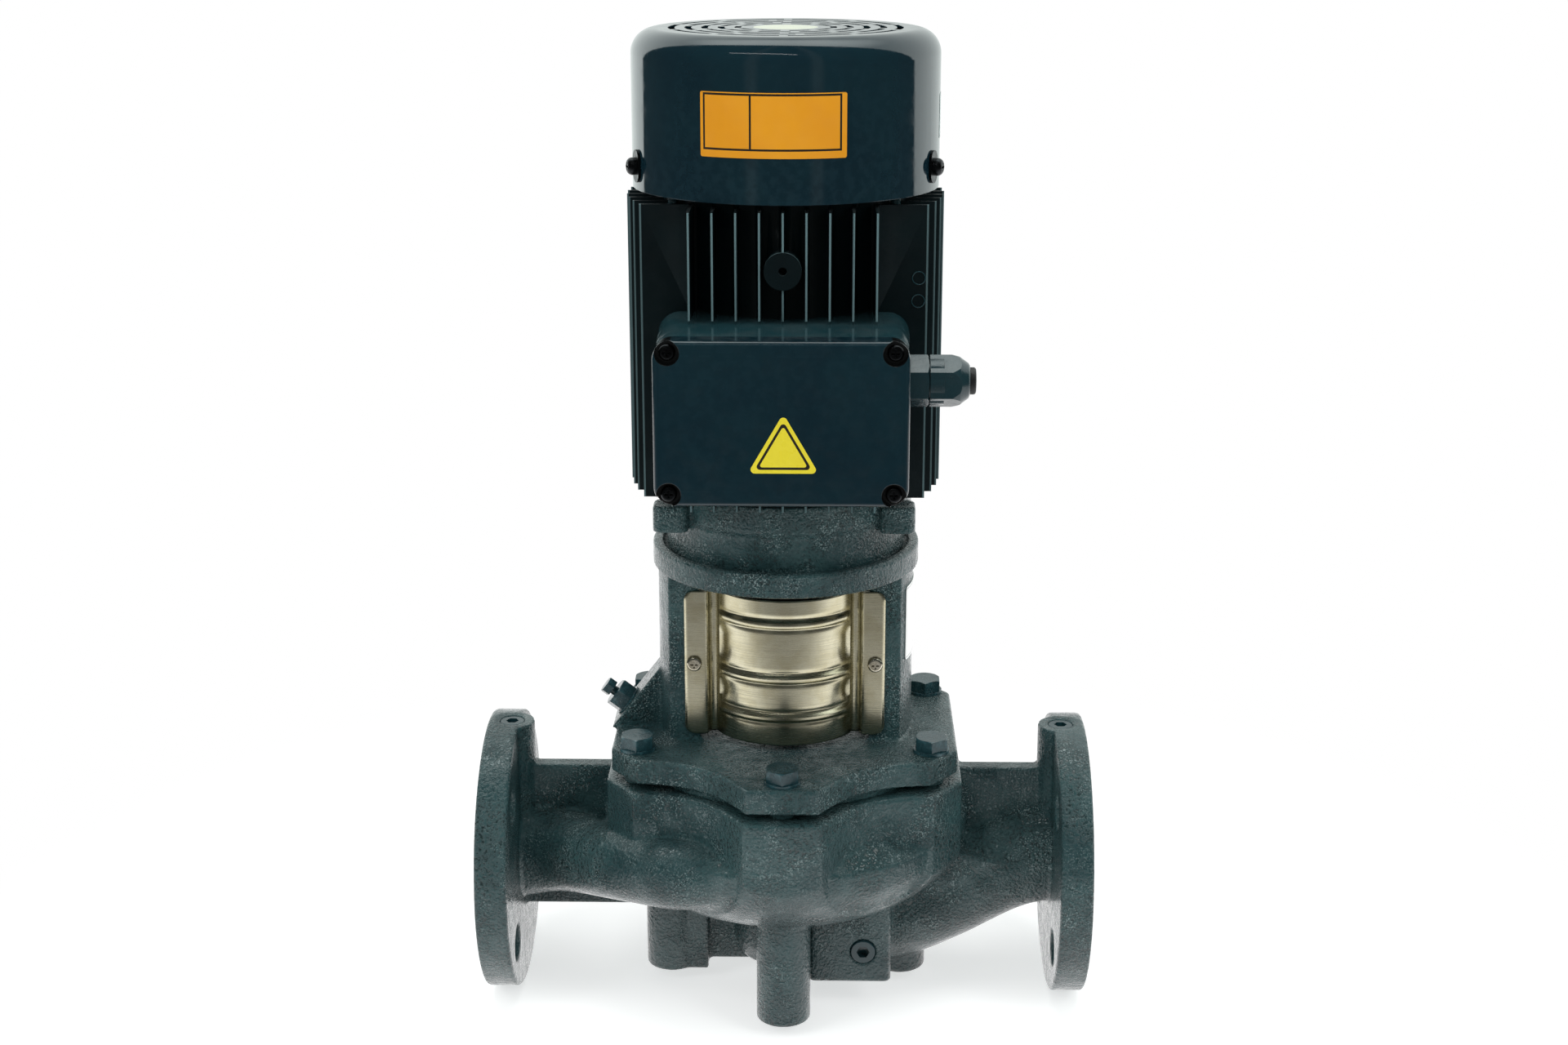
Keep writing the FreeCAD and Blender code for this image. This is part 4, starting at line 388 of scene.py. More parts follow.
@dataclass(frozen=True)
class Finish:
    """Common start of every finish: its name and its edge softness.

    Attributes:
        name: Material name.
        edge: Radius of the softened edges in millimetres.
    """

    name: str
    edge: float

    def open(self) -> Tuple[Material, NodeSheet, Node, Socket]:
        """Starts the material.

        Returns:
            The material, its sheet, its shader and the position socket.
        """
        material = bpy.data.materials.new(self.name)
        material.use_nodes = True
        sheet = NodeSheet(material.node_tree)
        shader = sheet.add("BsdfPrincipled")
        sheet.add("OutputMaterial", Surface=shader.outputs["BSDF"])
        position = sheet.add("TexCoord").outputs["Object"]
        return material, sheet, shader, position

    def relief(self, sheet: NodeSheet, shader: Node, height: object, depth: float) -> None:
        """Feeds softened edges and a height pattern to the shader.

        Args:
            sheet: The material's sheet.
            shader: The material's shader.
            height: Height socket, 0 to about 1.
            depth: Height of the pattern in millimetres.
        """
        soft = sheet.add("Bevel", {"samples": 4}, Radius=self.edge * MM)
        bump = sheet.add("Bump", Height=height, Strength=1.0, Distance=depth * MM,
                         Normal=soft.outputs["Normal"])
        sheet.feed(shader, Normal=bump.outputs["Normal"])


@dataclass(frozen=True)
class Enamel(Finish):
    """Gloss enamel over a casting or sheet.

    Attributes:
        color: Colour of the coat.
        deep: Colour of its thicker places.
        gloss: Roughness of the coat.
        grain: Grains per metre of the metal below.
        depth: Height of the grain in millimetres.
        pooling: Share of the grain that the paint drowns.
        thin: Amount of the painted highlight over sharp edges.
        pits: Strength of the painted shade in the pits between the grains.
        tips: Strength of the painted glints on the grains' peaks.
        shine: Specular level of the coat.
    """

    color: Screen
    deep: Screen
    gloss: float
    grain: float
    depth: float
    pooling: float
    thin: float = 0.0
    pits: float = 0.0
    tips: float = 0.0
    shine: float = 0.5

    def over_coat(self, sheet: NodeSheet, position: Socket, color: Socket) -> Socket:
        """Returns the coat's colour as it is."""
        return color

    def build(self, effects: Effects) -> Material:
        """Builds the material.

        Args:
            effects: Shared effect groups.

        Returns:
            The material.
        """
        material, sheet, shader, position = self.open()
        skin = sheet.effect(effects.cast_skin, Position=position, Grain=self.grain, Pooling=self.pooling)
        flow = sheet.effect(effects.paint_flow, Position=position, Color=shade(self.color),
                            Deep=shade(self.deep), Gloss=self.gloss)
        # Painted highlight: the edge colour is a lightened copy of the coat, laid over sharp edges.
        thin = sheet.effect(effects.painted_edge_highlight, Position=position, Color=flow.outputs["Color"],
                            Edge=shade(self.color, 2.6, 0.02), Amount=self.thin)
        # Painted shade: the pits between the grains darken towards a quarter of the coat's colour.
        pit_shaded = sheet.blend(sheet.times(skin.outputs["Pits"], self.pits), thin.outputs["Color"],
                             shade(self.color, 0.25))
        # Painted highlight: pale glints laid on the grain's peaks.
        shaded_and_glinted = sheet.blend(sheet.times(skin.outputs["Tips"], self.tips), pit_shaded, shade(PAINTED_GRAIN_GLINT))
        dusty = sheet.effect(effects.dust, Position=position, Color=shaded_and_glinted, Amount=0.05)
        coated = self.over_coat(sheet, position, dusty.outputs["Color"])
        sheet.feed(shader, Base_Color=coated, Roughness=flow.outputs["Roughness"],
                   Specular_IOR_Level=self.shine)
        self.relief(sheet, shader, skin.outputs["Height"], self.depth)
        return material


@dataclass(frozen=True)
class FinEnamel(Enamel):
    """Enamel with a painted highlight along the tips of the fins.

    Attributes:
        fins: Sizes of the fins.
        pale_tone_and_highlight: Colour of the painted highlight on their tips.
    """

    fins: Fins = Fins()
    pale_tone_and_highlight: Screen = (96, 120, 124)

    def over_coat(self, sheet: NodeSheet, position: Socket, color: Socket) -> Socket:
        """Lays the painted highlight on the fins' tips over the coat.

        Args:
            sheet: The material's sheet.
            position: Position socket.
            color: Colour of the coat.

        Returns:
            The colour with the painted highlight on the tips.
        """
        # Painted highlight: the tips of the front, rear and flank fins turn paler.
        spot = sheet.add("SeparateXYZ", Vector=position)
        off = sheet.size(sheet.minus(sheet.size(spot.outputs["Y"]), self.fins.front_tip))
        row = sheet.math("ROUND", sheet.math("DIVIDE", spot.outputs["Y"], self.fins.side_pitch))
        lost = sheet.times(sheet.times(row, row), self.fins.side_drop)
        reach = sheet.plus(sheet.size(spot.outputs["X"]), lost)
        tip = self.fins.side_tip
        flank = sheet.between(reach, tip - 1.0 * MM, tip - 0.6 * MM, 0.0, 0.7)
        pale_tone_and_highlight = sheet.math("MAXIMUM", sheet.between(off, 0.7 * MM, 0.3 * MM), flank)
        return sheet.blend(pale_tone_and_highlight, color, shade(self.pale_tone_and_highlight))


@dataclass(frozen=True)
class DiscEnamel(Enamel):
    """Enamel with round places of another colour, set out evenly about a middle.

    Attributes:
        second: Axis that the places are set out along besides X, Y or Z.
        middle: Middle of the places along that axis.
        half_x: Their distance from the middle along X.
        half_second: Their distance from the middle along the second axis.
        disc: Radius of a place.
        inside: Colour in it.
    """

    second: str = "Y"
    middle: float = 0.0
    half_x: float = 0.0
    half_second: float = 0.0
    disc: float = 16.0
    inside: Screen = (236, 243, 200)

    def over_coat(self, sheet: NodeSheet, position: Socket, color: Socket) -> Socket:
        """Lays the round places over the coat.

        Args:
            sheet: The material's sheet.
            position: Position socket.
            color: Colour of the coat.

        Returns:
            The colour with the places.
        """
        parts = sheet.add("SeparateXYZ", Vector=position)
        across = sheet.minus(sheet.size(parts.outputs["X"]), self.half_x * MM)
        along = sheet.size(sheet.minus(parts.outputs[self.second], self.middle * MM))
        along = sheet.minus(along, self.half_second * MM)
        away = sheet.math("SQRT", sheet.plus(sheet.times(across, across), sheet.times(along, along)))
        place = sheet.between(away, (self.disc + 0.05) * MM, (self.disc - 0.05) * MM)
        return sheet.blend(place, color, shade(self.inside))


@dataclass(frozen=True)
class Metal(Finish):
    """Bare metal with brush or turning lines.

    Attributes:
        color: Colour of the metal.
        tarnish: Colour of its duller clouds.
        gloss: Roughness between the lines.
        across: Lines per metre along X and Y.
        along: Lines per metre along Z.
        depth: Depth of the lines in millimetres.
    """

    color: Screen
    tarnish: Screen
    gloss: float
    across: float
    along: float
    depth: float

    def build(self, effects: Effects) -> Material:
        """Builds the material.

        Args:
            effects: Shared effect groups.

        Returns:
            The material.
        """
        material, sheet, shader, position = self.open()
        lines = sheet.effect(effects.fine_streaks, Position=position,
                             Stretch=(self.across, self.across, self.along))
        cloud = sheet.between(lines.outputs["Cloud"], 0.35, 0.7)
        color = sheet.blend(cloud, shade(self.color), shade(self.tarnish))
        color = sheet.blend(sheet.between(lines.outputs["Streak"], 0.3, 0.7, 0.0, 0.16), color,
                            shade(self.color, 0.55))
        rough = sheet.between(lines.outputs["Streak"], 0.25, 0.75, self.gloss - 0.07, self.gloss + 0.1)
        sheet.feed(shader, Base_Color=color, Roughness=rough, Metallic=1.0)
        self.relief(sheet, shader, lines.outputs["Streak"], self.depth)
        return material


@dataclass(frozen=True)
class Moulded(Finish):
    """Plastic, rubber, ceramic or carbon with a moulded skin.

    Attributes:
        color: Colour of the material.
        pale_tone_and_highlight: Colour of its paler places.
        gloss: Roughness of the skin.
        grain: Grains per metre.
        depth: Height of the grain in millimetres.
    """

    color: Screen
    pale_tone_and_highlight: Screen
    gloss: float
    grain: float
    depth: float

    def build(self, effects: Effects) -> Material:
        """Builds the material.

        Args:
            effects: Shared effect groups.

        Returns:
            The material.
        """
        material, sheet, shader, position = self.open()
        skin = sheet.effect(effects.cast_skin, Position=position, Grain=self.grain, Pooling=0.4)
        flow = sheet.effect(effects.paint_flow, Position=position, Color=shade(self.color),
                            Deep=shade(self.pale_tone_and_highlight), Gloss=self.gloss)
        dusty = sheet.effect(effects.dust, Position=position, Color=flow.outputs["Color"], Amount=0.12)
        sheet.feed(shader, Base_Color=dusty.outputs["Color"], Roughness=flow.outputs["Roughness"])
        self.relief(sheet, shader, skin.outputs["Height"], self.depth)
        return material


@dataclass(frozen=True)
class Layered(Finish):
    """Stacked sheets or wound wire: fine bands up the shaft.

    Attributes:
        color: Colour of the bands.
        gap: Colour between them.
        bands: Bands per metre.
        gloss: Roughness.
        depth: Depth between bands in millimetres.
    """

    color: Screen
    gap: Screen
    bands: float
    gloss: float
    depth: float

    def build(self, effects: Effects) -> Material:
        """Builds the material.

        Args:
            effects: Shared effect groups.

        Returns:
            The material.
        """
        material, sheet, shader, position = self.open()
        wave = sheet.add("TexWave", {"wave_type": "BANDS", "bands_direction": "Z"},
                         Vector=position, Scale=self.bands / 20.0, Distortion=0.6, Detail=1.0)
        flow = sheet.effect(effects.paint_flow, Position=position, Color=shade(self.color),
                            Deep=shade(self.color, 0.7), Gloss=self.gloss)
        gap = sheet.between(wave.outputs["Fac"], 0.25, 0.05)
        color = sheet.blend(gap, flow.outputs["Color"], shade(self.gap))
        sheet.feed(shader, Base_Color=color, Roughness=flow.outputs["Roughness"], Metallic=0.8)
        self.relief(sheet, shader, wave.outputs["Fac"], self.depth)
        return material


def shade(screen: Screen, factor: float = 1.0, extra: float = 0.0) -> Color:
    """Turns a screen colour into the shader's linear colour, and lightens or darkens it.

    Args:
        screen: Red, green and blue from 0 to 255.
        factor: Factor on the linear colour.
        extra: Added to the linear colour.

    Returns:
        The linear colour with full alpha.
    """
    parts = [part / 255.0 for part in screen]
    linear = [p / 12.92 if p <= 0.04045 else ((p + 0.055) / 1.055) ** 2.4 for p in parts]
    return tuple(min(1.0, part * factor + extra) for part in linear) + (1.0,)


PETROL = (53, 81, 83)
PETROL_DEEP = (36, 62, 65)
GLOSS_PETROL = (15, 39, 47)
GLOSS_DEEP = (12, 34, 43)
# Pale grey-teal of the painted glints on the grain.
PAINTED_GRAIN_GLINT = (150, 168, 168)

# The numbers stand in the order of each finish's attributes.
FINISHES = {
    "cast": Enamel("cast_enamel", 0.7, PETROL, PETROL_DEEP, 0.16, 600.0, 0.6, 0.6, 0.25, 0.9, 0.5),
    "stool": Enamel("stool_enamel", 0.7, PETROL, PETROL_DEEP, 0.15, 620.0, 0.6, 0.6, 0.25, 0.9, 0.6),
    # Motor frame enamel: the frame's petrol coat darkened to near black, painted shade for the gaps
    # between the fins.
    "frame_paint": FinEnamel("shaded_diecast_enamel", 0.4, (11, 25, 28), (8, 19, 22), 0.4, 600.0, 0.02, 0.6,
                             shine=0.2),
    "box_paint": Enamel("box_enamel", 0.5, (34, 64, 70), (26, 55, 61), 0.14, 300.0, 0.01, 0.8),
    "sheet_paint": DiscEnamel("cowl_enamel", 0.6, GLOSS_PETROL, GLOSS_DEEP, 0.07, 120.0, 0.004, 0.9, 0.1),
    "lid_paint": DiscEnamel("lid_enamel", 0.6, GLOSS_PETROL, GLOSS_DEEP, 0.12, 160.0, 0.004, 0.9, 0.1,
                            second="Z", middle=334.1, half_x=53.0, half_second=34.0, disc=5.9,
                            inside=(14, 15, 16)),
    "bolt": Enamel("bolt_enamel", 0.4, (30, 62, 68), (20, 48, 54), 0.18, 900.0, 0.06, 0.7, 0.4, 0.4, 0.2),
    "stainless": Metal("brushed_stainless", 0.3, (204, 199, 174), (190, 183, 154), 0.24, 30.0, 5200.0,
                       0.012),
    "bright": Metal("plated_steel", 0.2, (214, 208, 192), (190, 182, 160), 0.18, 900.0, 900.0, 0.008),
    "steel": Metal("machined_steel", 0.2, (190, 192, 194), (160, 162, 164), 0.3, 60.0, 4000.0, 0.01),
    "ground": Metal("ground_steel", 0.2, (205, 207, 210), (186, 188, 192), 0.16, 60.0, 6000.0, 0.006),
    "black_steel": Metal("blackened_steel", 0.25, (46, 48, 50), (30, 31, 33), 0.32, 700.0, 700.0, 0.01),
    "bronze": Metal("cast_bronze", 0.3, (196, 152, 92), (160, 118, 66), 0.3, 80.0, 3000.0, 0.02),
    "iron": Metal("machined_iron", 0.3, (120, 122, 124), (92, 94, 96), 0.42, 900.0, 1200.0, 0.03),
    "brass": Metal("stud_brass", 0.2, (220, 190, 120), (196, 160, 92), 0.22, 900.0, 3000.0, 0.01),
    "aluminium": Metal("cast_aluminium", 0.3, (206, 208, 210), (180, 182, 186), 0.38, 900.0, 900.0, 0.03),
    "plate": Metal("anodised_plate", 0.1, (226, 228, 226), (214, 216, 214), 0.34, 4000.0, 60.0, 0.004),
    "rubber": Moulded("black_rubber", 0.3, (22, 23, 24), (34, 35, 36), 0.55, 1400.0, 0.02),
    "plastic": Moulded("black_plastic", 0.3, (28, 29, 31), (38, 39, 41), 0.42, 1100.0, 0.02),
    "block": Moulded("terminal_plastic", 0.3, (52, 44, 38), (62, 54, 46), 0.38, 900.0, 0.02),
    "gland": Moulded("painted_gland", 0.35, (26, 50, 56), (18, 41, 47), 0.2, 700.0, 0.02),
    "carbon": Moulded("seal_carbon", 0.2, (34, 34, 36), (44, 44, 46), 0.3, 1200.0, 0.01),
    "ceramic": Moulded("seal_ceramic", 0.2, (240, 236, 224), (228, 222, 208), 0.14, 900.0, 0.004),
    "lamination": Layered("stacked_sheets", 0.2, (120, 124, 130), (40, 40, 44), 2000.0, 0.4, 0.05),
    "copper": Layered("varnished_copper", 0.3, (196, 108, 62), (70, 28, 14), 1100.0, 0.3, 0.2),
    "orange": Moulded("orange_vinyl", 0.1, (236, 158, 24), (230, 150, 20), 0.32, 500.0, 0.006),
    "yellow": Moulded("yellow_vinyl", 0.1, (240, 222, 52), (232, 212, 44), 0.3, 500.0, 0.006),
    "pale": Moulded("pale_label", 0.1, (216, 228, 226), (206, 220, 218), 0.32, 500.0, 0.006),
    "ink": Moulded("dark_ink", 0.1, (30, 28, 24), (38, 34, 28), 0.4, 500.0, 0.004),
}


def mixed() -> Dict[str, Material]:
    """Builds every finish once.

    Returns:
        The materials by their short names.
    """
    effects = Effects()
    return {name: finish.build(effects) for name, finish in FINISHES.items()}


# Mesh tools


def applied(piece: bpy.types.Object) -> EditMesh:
    """Applies the modifiers of a piece.

    Args:
        piece: Object with modifiers.

    Returns:
        Edit mesh of the result, which the piece now has.
    """
    bpy.context.view_layer.update()
    graph = bpy.context.evaluated_depsgraph_get()
    mesh = bpy.data.meshes.new_from_object(piece.evaluated_get(graph), depsgraph=graph)
    piece.modifiers.clear()
    piece.data = mesh
    bm = bmesh.new()
    bm.from_mesh(mesh)
    return bm


def solid_copy(node: str) -> EditMesh:
    """Copies a solid's mesh with its vertices merged.

    Args:
        node: Name of the solid.

    Returns:
        The edit mesh.
    """
    bm = bmesh.new()
    bm.from_mesh(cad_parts[node].data)
    bmesh.ops.remove_doubles(bm, verts=bm.verts, dist=1e-6)
    return bm


def cut(bm: EditMesh, axis: str, place: float) -> None:
    """Cuts an edit mesh in two along a plane, with both halves kept.

    Args:
        bm: Edit mesh.
        axis: Axis square to the plane, x or z.
        place: Place of the plane on that axis.
    """
    spot, normal = Vector(), Vector()
    setattr(spot, axis, place)
    setattr(normal, axis, 1.0)
    bmesh.ops.bisect_plane(bm, geom=bm.verts[:] + bm.edges[:] + bm.faces[:], dist=1e-7,
                           plane_co=spot, plane_no=normal)


@dataclass(frozen=True)
class Label:
    """Thin label or plate with a printed frame, laid round the shaft.

    Attributes:
        width: Width along its arc.
        height: Height.
        radius: Radius of the surface below it.
        middle: Height of its middle above the origin.
        azimuth: Direction of its middle in degrees, 0 at -Y and 90 at +X.
        insets: Distance of the frame from the left, right, lower and upper edge.
        line: Width of the printed line.
        corner: Radius of its corners.
        thickness: Its thickness.
        dividers: Places of upright dividers along the arc, from the middle.
        strips: Strips that make up the arc.
    """

    width: float
    height: float
    radius: float
    middle: float
    azimuth: float
    insets: Tuple[float, float, float, float]
    line: float
    corner: float = 1.0 * MM
    thickness: float = 0.15 * MM
    dividers: Tuple[float, ...] = ()
    strips: int = 24

    def build(self) -> EditMesh:
        """Builds the label.

        Returns:
            Its edit mesh in place, the printed faces in material 1.
        """
        bm = bmesh.new()
        bmesh.ops.create_grid(bm, x_segments=1, y_segments=1, size=0.5)
        bmesh.ops.transform(bm, matrix=Matrix.Rotation(math.radians(90), 4, "X"), verts=bm.verts)
        bmesh.ops.scale(bm, vec=(self.width, 1.0, self.height), verts=bm.verts)
        bmesh.ops.bevel(bm, geom=bm.verts[:], offset=self.corner, segments=6, profile=0.5,
                        affect="VERTICES", material=-1)
        back = bmesh.ops.extrude_face_region(bm, geom=bm.faces[:])
        moved = [v for v in back["geom"] if isinstance(v, bmesh.types.BMVert)]
        bmesh.ops.translate(bm, vec=(0.0, -self.thickness, 0.0), verts=moved)
        bmesh.ops.recalc_face_normals(bm, faces=bm.faces)
        self.mark(bm)
        self.roll(bm)
        return bm

    def mark(self, bm: EditMesh) -> None:
        """Cuts the printed lines into the flat label and gives their faces material 1.

        Args:
            bm: The label in the X-Z plane, facing -Y.
        """
        half = self.line / 2
        left, right = self.insets[0] - self.width / 2, self.width / 2 - self.insets[1]
        low, high = self.insets[2] - self.height / 2, self.height / 2 - self.insets[3]
        upright = (left, right) + self.dividers
        for axis, places in (("x", upright), ("z", (low, high))):
            for place in places:
                cut(bm, axis, place - half)
                cut(bm, axis, place + half)
        bm.normal_update()
        for face in bm.faces:
            spot = face.calc_center_median()
            within_x = left - half < spot.x < right + half
            within_z = low - half < spot.z < high + half
            on_upright = within_z and any(abs(spot.x - place) < half for place in upright)
            on_level = within_x and any(abs(spot.z - place) < half for place in (low, high))
            if face.normal.y < -0.5 and (on_upright or on_level):
                face.material_index = 1

    def roll(self, bm: EditMesh) -> None:
        """Lays the flat label round the shaft.

        Args:
            bm: The label in the X-Z plane about the origin.
        """
        for i in range(1, self.strips):
            cut(bm, "x", self.width * (i / self.strips - 0.5))
        for vert in bm.verts:
            angle = vert.co.x / self.radius + math.radians(self.azimuth)
            reach = self.radius - vert.co.y
            vert.co = Vector((reach * math.sin(angle), -reach * math.cos(angle), vert.co.z + self.middle))


# Sub-assemblies


@dataclass
class Assembly:
    """Sub-assembly that is dressed from one palette.

    Attributes:
        palette: The finishes by their short names.
    """

    palette: Dict[str, Material]

    def dress(self, finishes: Dict[str, Sequence[str]]) -> None:
        """Gives solids that stay shown their finish.

        Args:
            finishes: Names of the solids by the finish's short name.
        """
        for finish, nodes in finishes.items():
            for node in nodes:
                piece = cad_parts[node]
                if not piece.material_slots:
                    piece.data.materials.append(self.palette[finish])
                for slot in piece.material_slots:
                    slot.material = self.palette[finish]
                log.info("solid %s dressed as %s", node, finish)

    def show(self, name: str, bm: EditMesh, finishes: Sequence[str], slot: str,
             angle: float = 32.0) -> bpy.types.Object:
        """Makes a shown piece of the fixed body from an edit mesh, at the origin.

        Args:
            name: Name of the piece.
            bm: Edit mesh in place; it is freed.
            finishes: Short names of its finishes.
            slot: Material slot of the record; not used.
            angle: Edges sharper than this many degrees stay sharp.

        Returns:
            The piece.
        """
        mesh = bpy.data.meshes.new(name)
        bm.to_mesh(mesh)
        bm.free()
        for finish in finishes:
            mesh.materials.append(self.palette[finish])
        mesh.polygons.foreach_set("use_smooth", [True] * len(mesh.polygons))
        mesh.set_sharp_from_angle(angle=math.radians(angle))
        piece = bpy.data.objects.new(name, mesh)
        bpy.context.scene.collection.objects.link(piece)
        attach(piece, "pump_body")
        log.info("piece %s has %d faces", name, len(mesh.polygons))
        return piece

    def cast(self, node: str, name: str, finish: str, voxel: float, rounds: int = 1,
             faces: int = 190000) -> None:
        """Builds a casting with rounded edges and inner corners in place of a solid.

        Args:
            node: The solid.
            name: Name of the casting.
            finish: Short name of its finish.
            voxel: Fineness of its mesh.
            rounds: Rounds of smoothing of its edges.
            faces: Triangles of the finished mesh.
        """
        bm = solid_copy(node)
        mesh = bpy.data.meshes.new(name + "_work")
        bm.to_mesh(mesh)
        bm.free()
        work = bpy.data.objects.new(name + "_work", mesh)
        bpy.context.scene.collection.objects.link(work)
        skin = work.modifiers.new("skin", "REMESH")
        skin.mode = "VOXEL"
        skin.voxel_size = voxel
        bm = applied(work)
        for _ in range(rounds):
            bmesh.ops.smooth_vert(bm, verts=bm.verts, factor=0.5, use_axis_x=True, use_axis_y=True,
                                  use_axis_z=True)
        bm.to_mesh(work.data)
        bm.free()
        thin = work.modifiers.new("thin", "DECIMATE")
        thin.ratio = min(1.0, faces / (2.0 * len(work.data.polygons)))
        bm = applied(work)
        bpy.data.objects.remove(work)
        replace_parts(self.show(name, bm, (finish,), "cast_paint", angle=60.0), node)


@dataclass
class PumpCasing(Assembly):
    """Volute casing in one casting, with its plugs and the rings inside."""

    def build(self) -> None:
        """Builds and dresses the casing."""
        self.cast("volute_casing", "casing_casting", "cast", voxel=1.05 * MM)
        self.dress({
            "bolt": ("pipe_plugs",),
            "bronze": ("casing_wear_ring",),
            "rubber": ("casing_o_ring",),
        })


@dataclass
class MotorStool(Assembly):
    """Cover plate and motor stool in one casting, its bolts, the vent and a bare plate.

    Attributes:
        plate: The square plate on the right leg.
    """

    plate: Label = Label(width=40.0 * MM, height=40.0 * MM, radius=67.0 * MM, middle=206.0 * MM,
                         azimuth=86.0, insets=(1.2 * MM,) * 4, line=0.3 * MM, corner=2.0 * MM,
                         thickness=0.4 * MM)

    def build(self) -> None:
        """Builds and dresses the stool."""
        self.cast("motor_stool", "stool_casting", "stool", voxel=0.95 * MM)
        self.dress({
            "bolt": ("stool_bolts", "stool_washers", "vent_plug", "vent_plug_washer", "vent_screw"),
        })
        self.show("stool_plate", self.plate.build(), ("plate", "ink"), "plain_steel")


@dataclass
class CouplingGuard(Assembly):
    """Pressed stainless guard in the stool window.

    Attributes:
        low: Lower edge above the origin.
        height: Height of the sheet.
        gauge: Sheet thickness.
        ear_out: Half width over the ears.
        ear_in: Where an ear bends into its channel.
        ear_y: Distance of the ears from the shaft.
        bend: Radius of the bend.
        channel: Radius of the channel.
        bulge: Radius of the barrel-shaped middle.
        front: Distance of its front from the shaft.
        corner: Corner radius of the ears.
        beads: Heights of the pressed beads above the lower edge.
        bead: Height of a bead over the sheet.
        bead_half: Half width of a bead.
        groove: Depth of the hollow on each side of a bead.
        groove_off: Distance of the hollow from the bead.
        groove_half: Half width of the hollow.
        waist: How far the flank draws in between the beads.
        waist_reach: Distance from a bead where it has drawn in fully.
        skirt: How far the flank draws in below the lowest bead.
    """

    low: float = 147.1 * MM
    height: float = 78.5 * MM
    gauge: float = 1.0 * MM
    ear_out: float = 52.0 * MM
    ear_in: float = 41.5 * MM
    ear_y: float = 30.5 * MM
    bend: float = 1.5 * MM
    channel: float = 3.2 * MM
    bulge: float = 40.0 * MM
    front: float = 47.0 * MM
    corner: float = 5.0 * MM
    beads: Tuple[float, float, float] = (15.1 * MM, 36.2 * MM, 65.7 * MM)
    bead: float = 1.9 * MM
    bead_half: float = 1.45 * MM
    groove: float = 0.45 * MM
    groove_off: float = 3.0 * MM
    groove_half: float = 0.9 * MM
    waist: float = 1.7 * MM
    waist_reach: float = 9.0 * MM
    skirt: float = 0.9 * MM

    def outline(self) -> Outline:
        """Right half of the sheet in plan, from the ear to the middle.

        Returns:
            Points of the middle line with their share of the way round the bulge, which is
            0 in the channel and -1 on the ear.
        """
        points = []
        for i in range(6):
            points.append((self.ear_out + (self.ear_in - self.ear_out) * i / 5, -self.ear_y, -1.0))
        for i in range(1, 4):
            turn = math.radians(90 * i / 3)
            points.append((self.ear_in - self.bend * math.sin(turn),
                           -self.ear_y + self.bend * (1 - math.cos(turn)), -1.0))
        middle = self.ear_in - self.bend - self.channel
        centre_y = -self.front + self.bulge
        foot = math.acos(min(1.0, (middle - self.channel) / self.bulge))
        floor_y = centre_y - self.bulge * math.sin(foot)
        for i in range(9):
            turn = math.pi * i / 8
            points.append((middle + self.channel * math.cos(turn),
                           floor_y + self.channel * math.sin(turn), 0.0))
        steps = 26
        for i in range(1, steps + 1):
            turn = foot + (math.pi / 2 - foot) * i / steps
            points.append((self.bulge * math.cos(turn),
                           centre_y - self.bulge * math.sin(turn), i / steps))
        return [(Vector((x, y, 0.0)), share) for x, y, share in points]

    def swelling(self, share: float, level: float) -> Tuple[float, float]:
        """Shape of the pressed beads.

        Args:
            share: Share of the way round the bulge, 0 at its foot.
            level: Height above the lower edge.

        Returns:
            How far the sheet stands out there, and how far its flank draws in.
        """
        out, draw = 0.0, 0.0
        for bead in self.beads:
            off = abs(level - bead)
            out += self.bead * math.exp(-((off / self.bead_half) ** 4))
            out -= self.groove * math.exp(-(((off - self.groove_off) / self.groove_half) ** 2))
        if level < self.beads[0]:
            draw = self.skirt * math.sin(math.pi * level / self.beads[0])
        elif self.beads[0] < level < self.beads[2]:
            near = min(abs(level - bead) for bead in self.beads)
            draw = self.waist * min(1.0, near / self.waist_reach) ** 1.5
        return out * min(1.0, share / 0.10), draw * max(0.0, 1.0 - share / 0.35)

    def build(self) -> None:
        """Builds the two sheets and dresses the screws."""
        self.sheet(Side.FRONT, "guard_front")
        self.sheet(Side.REAR, "guard_rear")
        self.dress({"bright": ("guard_screws",)})

    def sheet(self, side: Side, node: str) -> None:
        """Builds one sheet.

        Args:
            side: Side of the stool.
            node: Solid that the sheet stands for.
        """
        half = self.outline()
        whole = half + [(Vector((-p.x, p.y, 0.0)), s) for p, s in reversed(half[:-1])]
        bm = bmesh.new()
        row = [bm.verts.new(p) for p, _ in whole]
        for first, second in zip(row[:-1], row[1:]):
            bm.edges.new((first, second))
        levels = 86
        edges = bm.edges[:]
        for _ in range(levels):
            made = bmesh.ops.extrude_edge_only(bm, edges=edges)["geom"]
            edges = [e for e in made if isinstance(e, bmesh.types.BMEdge)]
            fresh = [v for v in made if isinstance(v, bmesh.types.BMVert)]
            bmesh.ops.translate(bm, vec=(0.0, 0.0, self.height / levels), verts=fresh)
            edges = [e for e in edges if all(v in fresh for v in e.verts)]
        self.press(bm, whole)
        bmesh.ops.translate(bm, vec=(0.0, 0.0, self.low), verts=bm.verts)
        bmesh.ops.rotate(bm, matrix=Matrix.Rotation(math.radians(side.value), 3, "Z"), verts=bm.verts)
        bmesh.ops.recalc_face_normals(bm, faces=bm.faces)
        sheet = self.show(node + "_sheet", bm, ("stainless",), "guard_steel", angle=40.0)
        thick = sheet.modifiers.new("gauge", "SOLIDIFY")
        thick.thickness = self.gauge
        thick.offset = 0.0
        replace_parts(sheet, node)

